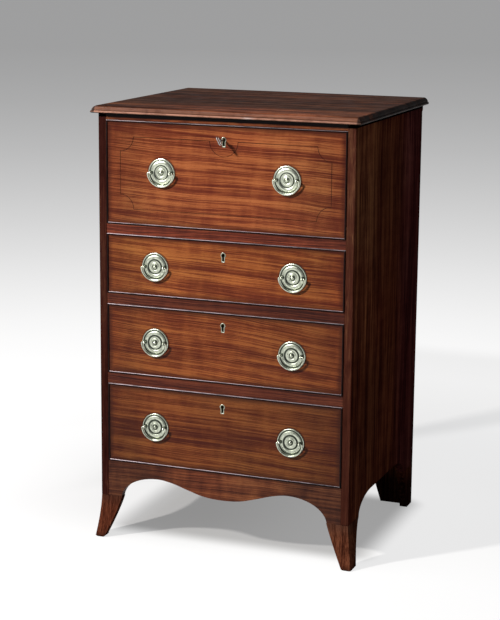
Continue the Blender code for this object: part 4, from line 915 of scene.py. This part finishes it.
@dataclass
class Studio:
    """The floor, the lamps and the camera.

    Attributes:
        target: the point that the camera is aimed past.
        distance: how far the camera stands from it.
        yaw: the camera's turn to the right of the chest's front, in radians.
        pitch: its height above the level, in radians.
        roll: its roll, in radians.
        shift_right: how far it stands aside, in metres.
        shift_up: how far it stands up, in metres.
        lens: its focal length, in millimetres.
    """

    target: Vector = field(default_factory=lambda: Vector((0, 12.5 * MM, 500 * MM)))
    distance: float = 4.1141
    yaw: float = 0.3665
    pitch: float = 0.2089
    roll: float = 0.0086
    shift_right: float = -31.8 * MM
    shift_up: float = 11.5 * MM
    lens: float = 101.79

    # Share of the decades of distance that the paper spans, and its tone there
    DECADES = 1.6
    PAPER = ((0.0, 0.765), (0.11, 0.83), (0.195, 0.802), (0.235, 0.778), (0.272, 0.745),
             (0.32, 0.697), (0.365, 0.643), (0.41, 0.591), (0.456, 0.54), (0.503, 0.491),
             (0.551, 0.443), (0.603, 0.402), (0.658, 0.363), (0.72, 0.335), (0.79, 0.311),
             (1.0, 0.308))
    # Middle and half width of the chest's footprint, along X and along Y, where the paper is
    # painted darker: a painted shadow
    FOOTPRINT = ((0.0, 0.27), (0.05, 0.19))
    FLOOR_REACH = 60
    LAMP_AIM = Vector((0, 0, 0.5))

    @staticmethod
    def add(name: str, data: bpy.types.ID) -> bpy.types.Object:
        """Return a new object in the scene that holds the data."""
        item = bpy.data.objects.new(name, data)
        bpy.context.scene.collection.objects.link(item)
        return item

    def camera(self) -> None:
        """Set the camera up at the photograph's viewing angle."""
        back = Vector((math.sin(self.yaw) * math.cos(self.pitch),
                       -math.cos(self.yaw) * math.cos(self.pitch), math.sin(self.pitch)))
        level = Vector((math.cos(self.yaw), math.sin(self.yaw), 0))
        upright = back.cross(level)
        right = level * math.cos(self.roll) + upright * math.sin(self.roll)
        up = upright * math.cos(self.roll) - level * math.sin(self.roll)
        eye = self.target + back * self.distance + right * self.shift_right + up * self.shift_up
        lens = bpy.data.cameras.new("camera")
        lens.lens = self.lens
        lens.sensor_width = 36
        item = self.add("camera", lens)
        turn = Matrix((right, up, back)).transposed().to_4x4()
        item.matrix_world = Matrix.Translation(eye) @ turn
        bpy.context.scene.camera = item

    def lamp(self, name: str, place: Sequence[float], size: Point, power: float,
             colour: Colour) -> None:
        """Add a soft lamp that faces the chest's middle.

        Args:
            name: its name.
            place: where it hangs.
            size: its width and height.
            power: its power, in watts.
            colour: its colour.
        """
        light = bpy.data.lights.new(name, "AREA")
        light.shape = "RECTANGLE"
        light.size, light.size_y = size
        light.energy = power
        light.color = colour
        item = self.add(name, light)
        item.location = place
        item.rotation_mode = "QUATERNION"
        way = self.LAMP_AIM - Vector(place)
        item.rotation_quaternion = way.to_track_quat("-Z", "Y")

    def lamps(self) -> None:
        """Light the front from its upper left, with a narrow strip light overhead."""
        self.lamp("key_lamp", (-2.37, -3.03, 3.07), (0.24, 0.24), 255, (1, 0.97, 0.93))
        self.lamp("overhead_lamp", (-1.1, -0.85, 3.3), (1.6, 0.16), 26, (0.9, 0.93, 1))

    def floor(self) -> None:
        """Lay the pale floor, which greys with its distance as the backdrop does, with painted
        shadows under, beside and behind the chest.
        """
        shape = bmesh.new()
        bmesh.ops.create_grid(shape, x_segments=48, y_segments=48, size=self.FLOOR_REACH)
        floor = self.add("studio_floor", mesh_of(shape, "studio_floor"))
        graph = Finish("studio_paper")
        far = graph.maths("MAXIMUM", graph.length(*graph.spot[:Z]), 1.0)
        step = graph.maths("DIVIDE", graph.maths("LOGARITHM", far, 10.0), self.DECADES)
        fibre = graph.minus(graph.mottle(1.3, 3.0), 0.5)
        step = graph.maths("MULTIPLY_ADD", fibre, 0.004, step)
        graph.colour = graph.ramp(step, [(place, (grey,) * 3) for place, grey in self.PAPER])
        # Painted shadow under the chest's footprint
        past = [graph.maths("MAXIMUM", graph.minus(graph.away(part, middle), half), 0.0)
                for part, (middle, half) in zip(graph.spot, self.FOOTPRINT)]
        gap = graph.length(*past)
        shade = graph.times(graph.fit(gap, 0.0, 0.08, 0.42, 1.0), self.painted_shadows(graph, gap))
        graph.tint(shade, shade)
        glow = graph.add("Emission", {0: graph.colour, 1: graph.seen()})
        paper = graph.add("BsdfDiffuse", {0: (0.26,) * 3})
        both = graph.add("AddShader", {0: paper.outputs[0], 1: glow.outputs[0]})
        graph.add("OutputMaterial", {0: both.outputs[0]})
        floor.data.materials.append(graph.material)

    @staticmethod
    def painted_shadows(graph: Finish, gap: Socket) -> Socket:
        """Return the painted shadows that darken the paper softly behind the chest and beside its
        feet.

        Args:
            graph: the paper's nodes.
            gap: the distance from the chest's footprint.

        Returns:
            The share of the tone that is left.
        """
        right, back, _ = graph.spot
        beside = graph.times(graph.fit(gap, 0.05, 0.6, 0.17, 0.0), graph.fit(back, -0.4, 0.0))
        beside = graph.times(beside, graph.fit(right, -0.2, 0.2, 1.0, -0.2))
        behind = graph.times(graph.fit(back, 1.0, 1.8, 0.14, 0.12),
                             graph.fit(back, 1.78, 2.0, 1.0, 0.0))
        past = graph.maths("MULTIPLY_ADD", right, -1.18, back)
        behind = graph.times(behind, graph.fit(past, 0.58, 0.74))
        behind = graph.times(behind, graph.fit(right, -0.6, -0.35))
        return graph.minus(graph.minus(1.0, beside), behind)

    def air(self) -> None:
        """Fill the studio with soft light, round a grey backdrop with a soft bright patch."""
        world = bpy.data.worlds.new("studio_air")
        bpy.context.scene.world = world
        world.use_nodes = True
        graph = Graph(world.node_tree)
        fill = graph.add("Background", {0: (0.13, 0.13, 0.138)})
        place = graph.add("TexCoord").outputs["Generated"]
        wall = graph.ramp(graph.split(place)[Z], [(0.0, (0.335,) * 3), (0.45, (0.05, 0.05, 0.055))])
        near = graph.add("VectorMath", {0: place, 1: (-0.6, -0.6, 0.53)}, operation="DOT_PRODUCT")
        patch = graph.ramp(near.outputs["Value"], [(0.84, (0, 0, 0)), (0.93, (1, 1, 1))])
        backdrop = graph.add("Background", {0: graph.blend(1.0, wall, patch, Mix.LIGHTEN)})
        both = graph.add("MixShader", {0: graph.seen(), 1: fill.outputs[0], 2: backdrop.outputs[0]})
        graph.add("OutputWorld", {0: both.outputs[0]})

    def build(self) -> None:
        """Set up the whole studio."""
        self.camera()
        self.lamps()
        self.floor()
        self.air()
        bpy.context.scene.view_settings.view_transform = "Standard"


@dataclass
class Handle:
    """A round plate with two ball posts, and the bail that hangs from them.

    Attributes:
        front: the front it is on, such as fall or drawer_2, which is its plate's body too.
        side: left or right.
        seat: the middle of the plate's back.
        seed: a number that sets this handle apart.
        brass: its metal.
        grown: how much wider the plate is than its profile.
        post_x: how far the posts stand from the middle.
        post_height: how far their balls' centres stand out.
        ball: the balls' radius.
        hoop: the radius of the bail's hoop.
        drop: how far the hoop hangs down.
        bend: the radius of its upper corners.
        lean: how far its lowest point leans to the plate.
        pintle: the radius of its ends.
        wire: its radius at the top.
        swell: how much more it is at the bottom.
    """

    front: str
    side: str
    seat: Vector
    seed: float
    brass: Metal
    grown: float = 31.5 / 30.5
    post_x: float = 23.5 * MM
    post_height: float = 10.7 * MM
    ball: float = 3.5 * MM
    hoop: float = 29.8 * MM
    drop: float = 30.6 * MM
    bend: float = 2 * MM
    lean: float = 5.4 * MM
    pintle: float = 1.1 * MM
    wire: float = 1.5 * MM
    swell: float = 0.75 * MM

    # Radius and height in millimetres, from the boss out to the rim and back underneath
    PLATE = (
        (0, 7.0), (1.1, 6.9), (2.2, 6.5), (3.2, 5.7), (3.9, 4.6), (4.3, 3.5), (4.8, 3.05),
        (5.6, 3.0), (6.2, 2.7), (6.8, 2.45), (7.8, 2.5), (8.5, 2.85), (9.0, 2.85), (9.7, 2.5),
        (11.2, 2.3), (13.0, 2.3), (13.9, 2.55), (14.5, 2.4), (14.9, 1.7), (15.4, 1.3),
        (16.0, 1.5), (17.2, 2.35), (18.8, 2.95), (20.6, 3.12), (22.4, 2.9), (24.2, 2.25),
        (25.6, 1.5), (26.4, 1.25), (27.0, 1.6), (27.8, 2.2), (28.7, 2.4), (29.6, 2.15),
        (30.2, 1.6), (30.5, 1.0), (30.5, 0.3),
    )
    POST = ((3.1, 2.0), (3.1, 2.8), (2.7, 3.5), (2.1, 4.1), (1.9, 5.4), (2.1, 6.6), (2.6, 7.3))
    # Radius and width of the plate's grooves
    GROOVES = ((5.4 * MM, 1.3 * MM), (15.8 * MM, 2.2 * MM), (27.2 * MM, 1.9 * MM))

    def plate(self) -> None:
        """Build the turned plate with its posts."""
        line = smoothed([(radius * self.grown * MM, height * MM)
                         for radius, height in self.PLATE], 2)
        shape = bmesh.new()
        shape.from_mesh(turned([*line, (0, line[-1][1])], "plate", 96, 0.12 * MM, self.seed))
        post = [(radius * MM, height * MM) for radius, height in self.POST]
        post += [(x, self.post_height + z) for x, z in arc((0, 0), self.ball, -42, 90, 10)]
        for side in (-1, 1):
            form = turned(post, "post", 24)
            form.transform(Matrix.Translation((side * self.post_x, 0, 0)))
            shape.from_mesh(form)
        name = f"{self.front}_plate_{self.side}_turned"
        finish = self.brass.dress(f"gilt_{self.front}_{self.side}", self.seed, self.GROOVES,
                                  self.post_x)
        piece = shown(mesh_of(shape, name), name, self.front, finish, self.seat)
        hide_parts(f"{self.front}_plate_{self.side}")

    def bail(self) -> None:
        """Build the bail, thickest at the bottom of its hoop, which leans to the plate."""
        outer = self.post_x + self.ball
        bend = arc((self.hoop - self.bend, -self.bend), self.bend, 90, 0, 6)
        right = [(outer - 2 * MM, 0), (outer + 0.4 * MM, 0), *bend]
        sweep = arc((0, self.hoop - self.drop), self.hoop, -4, -176, 56)
        left = [(-x, z) for x, z in reversed(right)]
        path = []
        radii = []
        for x, z in [*right, *sweep, *left]:
            share = min(1, max(0, -z / self.drop))
            path.append(Vector((x, self.lean * share ** 0.8, z)))
            radii.append(self.wire + self.swell * share ** 1.5)
        radii[0] = radii[-1] = self.pintle
        name = f"{self.front}_bail_{self.side}_cast"
        finish = self.brass.dress(f"gilt_bail_{self.front}_{self.side}", self.seed + 3)
        seat = self.seat - Vector((0, self.post_height, 0))
        piece = shown(swept(path, radii, name, 16), name, f"{self.front}_bail_{self.side}",
                      finish, seat)
        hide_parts(f"{self.front}_bail_{self.side}")

    def build(self) -> None:
        """Build the whole handle."""
        self.plate()
        self.bail()


@dataclass
class Escutcheon:
    """A brass thread let in round a keyhole.

    Attributes:
        front: the front it is on, which is its body too.
        height: the Z of the keyhole's round top's centre.
        radius: the radius of that round top.
        slot: the width of the slot below it.
        drop: how far the slot reaches down.
        wall: the thread's width.
    """

    front: str
    height: float
    radius: float = 4.2 * MM
    slot: float = 4.4 * MM
    drop: float = 14 * MM
    wall: float = 1.8 * MM

    # Share of the wall's width and depth in millimetres, from the outside in
    RIM = ((1.0, 1.4), (1.02, -0.35), (0.88, -0.62), (0.6, -0.74), (0.32, -0.66), (0.08, -0.36),
           (-0.02, 0.2), (-0.02, 2.6))

    def outline(self, grown: float) -> list[Point]:
        """Return the keyhole's outline.

        Args:
            grown: how far outside the keyhole it runs.

        Returns:
            Its points.
        """
        radius = self.radius + grown
        half = self.slot / 2 + grown
        start = math.degrees(math.asin(half / radius)) - 90
        foot = -self.drop - grown
        corner = min(1.2 * MM, half * 0.8)
        right = arc((half - corner, foot + corner), corner, -90, 0, 4)
        left = arc((corner - half, foot + corner), corner, 180, 270, 4)
        return [*arc((0, 0), radius, start, 180 - start, 28), *left, *right]

    def build(self) -> None:
        """Build the thread's rounded rim."""
        rows = [[Vector((x, depth * MM, z)) for x, z in self.outline(self.wall * share)]
                for share, depth in self.RIM]
        name = f"{self.front}_escutcheon"
        finish = GILT_BRASS.toned(0.6).dress(f"{name}_brass", self.height * 9)
        shown(skin(rows, name, Ends.OPEN), name, self.front, finish,
              (0, FRONT_Y, self.height))


@dataclass
class Key:
    """The key in the fall's lock, with a bow of two loops.

    Attributes:
        height: the Z of its shank.
        reach: how far it stands out of the fall.
        wire: the radius of its bow's wire.
        lean: how far the bow is turned from upright.
        bow_depth: the bow's size along the shank.
        bow_width: its size across it.
        tip: how far the shank goes in.
        shank: the shank's radius.
        bit: the bit's size along X, Y and Z.
        bit_drop: how far its middle lies below the shank's.
    """

    height: float
    reach: float = 34 * MM
    wire: float = 1.4 * MM
    lean: float = math.radians(28)
    bow_depth: float = 17 * MM
    bow_width: float = 22 * MM
    tip: float = 15.7 * MM
    shank: float = 2.3 * MM
    bit: tuple[float, float, float] = (2 * MM, 4 * MM, 7.6 * MM)
    bit_drop: float = 4 * MM

    # Radius and distance in millimetres from the bow's inner end, out of the lock
    COLLAR = ((0, 0.6), (2.2, 0.4), (2.6, -0.8), (2.1, -1.8), (3.4, -2.6), (3.6, -4.0),
              (3.0, -5.0), (2.35, -5.6))

    def bow(self) -> list[Vector]:
        """Return the bow's loop, which dips in at its end."""
        points = []
        for step in range(64):
            angle = 2 * math.pi * step / 64
            pinch = 0.42 * max(0, -math.cos(angle)) ** 5
            waist = 0.2 * max(0, math.cos(angle)) ** 4
            depth = (self.bow_depth / 2 - self.wire) * math.cos(angle) * (1 - pinch - waist)
            rise = (self.bow_width / 2 - self.wire) * math.sin(angle)
            points.append(Vector((-rise * math.sin(self.lean), depth, rise * math.cos(self.lean))))
        low = min(point.y for point in points) - self.wire
        return [point - Vector((0, low + self.reach, 0)) for point in points]

    def build(self) -> None:
        """Build the key: its bow, its turned stem and its bit."""
        bow = self.bow()
        square = Vector((math.cos(self.lean), 0, math.sin(self.lean)))
        shape = bmesh.new()
        shape.from_mesh(swept(bow, [self.wire] * len(bow), "bow", 14, Ends.LOOPED, 1.1, square))
        root = -max(point.y for point in bow)
        stem = [(radius * MM, root + rise * MM) for radius, rise in self.COLLAR]
        stem += [(self.shank, 1 * MM), (self.shank, 0.4 * MM - self.tip), (1.9 * MM, -self.tip),
                 (0, -self.tip)]
        shape.from_mesh(turned(stem, "stem", 28))
        place = Matrix.Translation((0, self.tip - self.bit[Y] / 2, -self.bit_drop))
        spans = Matrix.Diagonal((*self.bit, 1))
        bit = bmesh.ops.create_cube(shape, size=1, matrix=place @ spans)["verts"]
        edges = list({edge for vert in bit for edge in vert.link_edges})
        bmesh.ops.bevel(shape, geom=edges, offset=0.3 * MM, segments=2, affect="EDGES")
        piece = shown(mesh_of(shape, "key_filed"), "key_filed", "key",
                      STEEL.dress("key_steel", 4.2), (0, FRONT_Y, self.height))
        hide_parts("key")


@dataclass
class Carcase:
    """The sides, top, rails, apron, bottom, back and bearers."""

    shop: Workshop

    def boards(self) -> None:
        """Dress the sides, the apron and the feet."""
        dress = self.shop.dress
        toe = Zone(Z, 14 * MM, 12 * MM, TOE_WEAR, 0.7, -1)
        head = Zone(Z, 62 * MM, 40 * MM, FOOT_HEAD_SHADE, mode=Mix.TINT)
        # The rear feet darkened below 105 mm: painted shade
        rear_shade = Zone(Z, 105 * MM, 60 * MM, REAR_FOOT_SHADE, sign=-1, mode=Mix.TINT)
        ends = Zone(X, 100 * MM, 90 * MM, APRON_END_SHADE, middle=0.0, mode=Mix.TINT)
        for seed, side in enumerate(SIDES):
            dress(f"side_{side}", SIDE_WOOD, Grain.UPRIGHT, 3.1 + seed, ease=0.7 * MM,
                  zones=self.side_tones_and_light(side))
            dress(f"foot_front_{side}", FOOT_WOOD, Grain.STANDING, 7.3 + seed, ease=0.3 * MM,
                  zones=[toe, head])
            dress(f"foot_rear_{side}", SIDE_WOOD, Grain.UPRIGHT, 9.7 + seed, ease=0.6 * MM,
                  zones=[rear_shade])
        dress("apron", APRON_WOOD, Grain.ACROSS, 5.2, ease=0.3 * MM, zones=[ends])

    @staticmethod
    def side_tones_and_light(side: str) -> list[Zone]:
        """Return how a side's tone changes over it.

        Args:
            side: left or right; the right one has painted light on it: lighter towards the front
                higher up, bluer towards the back.

        Returns:
            The zones, with its front edge redder than its outer face, and a painted shadow at its
            top under the moulding.
        """
        high = Zone(Z, 300 * MM, 300 * MM, BLACK_GAPS_AND_SHADE)
        # Painted light on the right side: lighter towards the front higher up, bluer towards the
        # back
        painted_side_light = [Zone(Y, -50 * MM, 90 * MM, (1.9, 2.5, 2.2), sign=-1, within=high, mode=Mix.TINT),
                 Zone(Y, 60 * MM, 110 * MM, (0.95, 0.9, 1.6), mode=Mix.TINT)]
        edge = FRONT_Y + 0.4 * MM
        return [*(painted_side_light if side == "right" else []),
                Zone(Y, edge, 0.5 * MM, STILE_TINT, sign=-1, mode=Mix.TINT),
                Zone(Y, edge, 0.5 * MM, STILE_WOOD[side], 0.7, -1),
                # Painted shadow under the top's moulding
                Zone(Z, EAVES_Z, EAVES_SOFT, BLACK_GAPS_AND_SHADE)]

    def top(self) -> None:
        """Dress the top: its moulded edge is rubbed pale, with a painted highlight along its nose
        and a painted gloss spot on it; it is lighter towards its front, with a painted reflection
        at the front right, and painted shade on its ends and under its nose.
        """
        nose = Zone(Y, -256 * MM, 0.8 * MM, BRIGHT_NOSE, sign=-1)
        right = Zone(X, -150 * MM, 120 * MM, BLACK_GAPS_AND_SHADE)
        zones = [
            Zone(Y, -100 * MM, 90 * MM, (1.5, 1.35, 1.2), sign=-1, mode=Mix.TINT),
            # Painted reflection: lighter and bluer towards the front right
            Zone(Y, -110 * MM, 90 * MM, (1.6, 1.7, 1.9), sign=-1, within=right, mode=Mix.TINT),
            Zone(Y, -249 * MM, 3 * MM, WORN_EDGE, 0.6, -1),
            # The nose rubbed pale, with a painted highlight along it
            replace(nose, share=0.75),
            # A painted gloss spot on the nose
            Zone(X, 20 * MM, 30 * MM, PAINTED_GLOSS_SPOT, 0.8, -1, 60 * MM, nose),
            # Painted shade on the top's ends and under its nose
            Zone(X, 303 * MM, 3 * MM, BLACK_GAPS_AND_SHADE, 0.85, middle=0.0),
            Zone(Z, 986 * MM, 0.8 * MM, BLACK_GAPS_AND_SHADE, sign=-1),
        ]
        self.shop.dress("top_board", TOP_WOOD, Grain.FLAT, 1.9, ease=0.35 * MM, zones=zones)

    def rails(self) -> None:
        """Dress the rails and their bearers."""
        dress = self.shop.dress
        # The top rail's upper part is painted near-black: a painted shadow under the top's moulding
        dress("top_rail", APRON_WOOD, Grain.ACROSS, 2.4, ease=0.4 * MM,
              zones=[Zone(Z, EAVES_Z, EAVES_SOFT, BLACK_GAPS_AND_SHADE)])
        # The drawer rails get darker downwards: painted shade
        for number, tone in ((1, 1.4), (2, 0.62), (3, 0.6)):
            dress(f"drawer_rail_{number}", RAIL_WOOD.toned(tone), Grain.ACROSS, 2.4 + number,
                  ease=0.4 * MM)
            dress(f"drawer_bearer_{number}", OAK, Grain.DEEP, 4.4 + number, ease=0.4 * MM)

    def build(self) -> None:
        """Dress the whole carcase."""
        self.boards()
        self.top()
        self.rails()
        self.shop.dress("bottom_board", PINE, Grain.FLAT, 6.1, ease=0.5 * MM)
        self.shop.dress("back_panel", PINE, Grain.UPRIGHT, 6.9, ease=0.5 * MM)


@dataclass
class Front:
    """A cockbeaded front with its handles and escutcheon.

    Attributes:
        shop: what dresses its solids.
        name: its name, such as fall or drawer_2.
        solid: the front's own solid.
        handle_x: how far its handles stand from the middle.
        handle_z: their height.
        lock_z: the height of its keyhole.
        seed: a number that sets it apart.
        wood: its wood.
        brass: the metal of its handles.
        slope: how far its grain leans, in radians.
        bead: how far its face starts inside its solid's box.
    """

    shop: Workshop
    name: str
    solid: str
    handle_x: float
    handle_z: float
    lock_z: float
    seed: float
    wood: Wood
    brass: Metal
    slope: float
    bead: float = 3.5 * MM

    def build(self) -> None:
        """Dress the front, its bead and its brasses."""
        dress, name, bead = self.shop.dress, self.name, self.bead
        low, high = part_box(self.solid)
        panel = ((low.x + bead, high.x - bead), (low.z + bead, high.z - bead))
        plates = [(side * self.handle_x, self.handle_z) for side in (-1, 1)]
        dress(self.solid, self.wood, Grain.ACROSS, self.seed, self.slope, ease=0.2 * MM,
              panel=panel, plates=plates)
        dress(f"{name}_cockbead", BEAD_WOOD, Grain.ACROSS, self.seed + 20)
        # The lock is painted near-black behind the front's face: painted shade in the keyhole
        dress(f"{name}_lock", DARK_BRASS, self.seed, ease=0.2 * MM, depth=FRONT_Y + 1 * MM)
        Escutcheon(name, self.lock_z).build()
        for sign, side in zip((-1, 1), SIDES):
            seat = Vector((sign * self.handle_x, FRONT_Y, self.handle_z))
            Handle(name, side, seat, self.seed * 2 + sign, self.brass).build()


@dataclass
class Fall:
    """The hinged fall: its front, stringing, leather, stays, bolt and key.

    Attributes:
        shop: what dresses its solids.
        left: how far the stringing reaches to each side.
        top: its upper edge.
        foot: its lower edge.
        corner: the radius of its hollow corners.
        dip: the radius of the dip under the lock.
        width: the string's width.
        proud: how far it stands out.
        sunk: how far it goes in.
        skiver: the X and Z spans of the leather.
    """

    shop: Workshop
    left: float = 247 * MM
    top: float = 933.5 * MM
    foot: float = 773 * MM
    corner: float = 32 * MM
    dip: float = 33 * MM
    width: float = 1.3 * MM
    proud: float = 0.12 * MM
    sunk: float = 0.3 * MM
    skiver: Panel = ((-228 * MM, 228 * MM), (800 * MM, 908 * MM))

    def string_line(self) -> list[Point]:
        """Return the stringing's line, anticlockwise from the lock's right."""
        x, low, high, corner = self.left, self.foot, self.top, self.corner
        corners = (((-x, high), 0), ((-x, low), 90), ((x, low), 180), ((x, high), -90))
        return [*arc((0, high), self.dip, 0, -180, 32),
                *(point for centre, start in corners
                  for point in arc(centre, corner, start, start - 90, 14))]

    def stringing(self) -> None:
        """Lay the dark string into the fall's face."""
        line = [Vector((x, 0, z)) for x, z in self.string_line()]
        front = Vector((0, FRONT_Y - self.proud, 0))
        sunk = Vector((0, FRONT_Y + self.sunk, 0))
        rows = []
        for index, point in enumerate(line):
            before = (point - line[index - 1]).normalized()
            after = (line[(index + 1) % len(line)] - point).normalized()
            across = Vector((-(before + after).z, 0, (before + after).x)).normalized()
            stretch = 1 / max(0.5, math.sqrt((1 + before.dot(after)) / 2))
            half = across * self.width / 2 * stretch
            rows.append([point - half + sunk, point - half * 0.9 + front,
                         point + half * 0.9 + front, point + half + sunk])
        mesh = skin(rows, "fall_stringing", Ends.LOOPED, smooth=False)
        finish = STRING_WOOD.dress("fall_stringing", Grain.ACROSS, 12.5)
        shown(mesh, "fall_stringing", "fall", finish)

    def leather(self) -> None:
        """Lay the leather writing surface on the fall's inner face."""
        (left, right), (foot, top) = self.skiver
        rows = []
        for inset, depth in ((0, -0.1 * MM), (0.3 * MM, 0.2 * MM), (1 * MM, 0.3 * MM)):
            west, east, low, high = left + inset, right - inset, foot + inset, top - inset
            corners = ((west, low), (east, low), (east, high), (west, high))
            rows.append([Vector((x, FALL_BACK_Y + depth, z)) for x, z in corners])
        mesh = skin(rows, "fall_leather", Ends.CAPPED, smooth=False)
        finish = SKIVER.dress("fall_leather", self.skiver)
        shown(mesh, "fall_leather", "fall", finish)

    def build(self) -> None:
        """Dress the whole fall."""
        Front(self.shop, "fall", "fall_panel", handle_x=147 * MM, handle_z=858 * MM,
              lock_z=FALL_LOCK_Z, seed=1.0, wood=FRONT_WOOD.toned(0.9), brass=GILT_BRASS,
              slope=-0.045).build()
        self.stringing()
        self.leather()
        Key(FALL_LOCK_Z).build()
        self.shop.dress("fall_bolt", STEEL, 8.8, ease=0.3 * MM)
        for side in SIDES:
            self.shop.dress(f"fall_quadrant_{side}", DARK_BRASS, 5.5, ease=0.2 * MM)


@dataclass
class LongDrawer:
    """A long drawer under the fall.

    Attributes:
        shop: what dresses its solids.
        number: its number from the top, the fall's being 1.
        handle_z: the height of its handles.
        lock_z: the height of its keyhole.
        slope: how far its grain leans, in radians.
        tone: how bright its wood and its brasses are painted: darker on the lower drawers, partly
            as painted shade.
    """

    shop: Workshop
    number: int
    handle_z: float
    lock_z: float
    slope: float
    tone: float

    def build(self) -> None:
        """Dress the whole drawer."""
        name = f"drawer_{self.number}"
        # The tone paints the lower fronts and their brasses darker: painted shade, besides their
        # own tone
        Front(self.shop, name, f"{name}_front", 163 * MM, self.handle_z, self.lock_z,
              self.number * 1.7, FRONT_WOOD.toned(self.tone, 0.78),
              GILT_BRASS.toned(0.26 + 0.52 * self.tone), self.slope).build()
        self.shop.dress(f"{name}_box", OAK, Grain.DEEP, self.number + 0.4, ease=0.4 * MM)


@dataclass
class WritingDrawer:
    """The secretaire drawer behind the fall, with its pigeonholes."""

    shop: Workshop

    def build(self) -> None:
        """Dress the whole writing drawer."""
        dress = self.shop.dress
        for seed, side in enumerate(SIDES):
            dress(f"desk_side_{side}", OAK, Grain.DEEP, 11.3 + seed, ease=0.4 * MM)
            dress(f"pivot_plate_{side}", DARK_BRASS, 6.6 + seed, ease=0.2 * MM)
        dress("desk_floor", RAIL_WOOD, Grain.FLAT, 13.1, ease=0.3 * MM)
        dress("desk_back", OAK, Grain.ACROSS, 13.9, ease=0.4 * MM)
        dress("pigeonhole_case", FRONT_WOOD, Grain.ACROSS, 14.6, ease=0.3 * MM)
        dress("inner_drawer", FRONT_WOOD, Grain.ACROSS, 15.2, ease=0.3 * MM)


def main() -> None:
    """Dress the chest and set up the studio."""
    logging.basicConfig(level=logging.INFO, format="%(message)s")
    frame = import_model()
    shop = Workshop(frame["nodes"], eased_arris())
    parts = [
        Studio(),
        Carcase(shop),
        Fall(shop),
        LongDrawer(shop, 2, handle_z=646.5 * MM, lock_z=684 * MM, slope=-0.05, tone=0.98),
        LongDrawer(shop, 3, handle_z=473.5 * MM, lock_z=526 * MM, slope=-0.065, tone=0.74),
        LongDrawer(shop, 4, handle_z=276.5 * MM, lock_z=340 * MM, slope=-0.035, tone=0.56),
        WritingDrawer(shop),
    ]
    for part in parts:
        part.build()
        log.info("built %s", type(part).__name__)


if __name__ == "__main__":
    main()
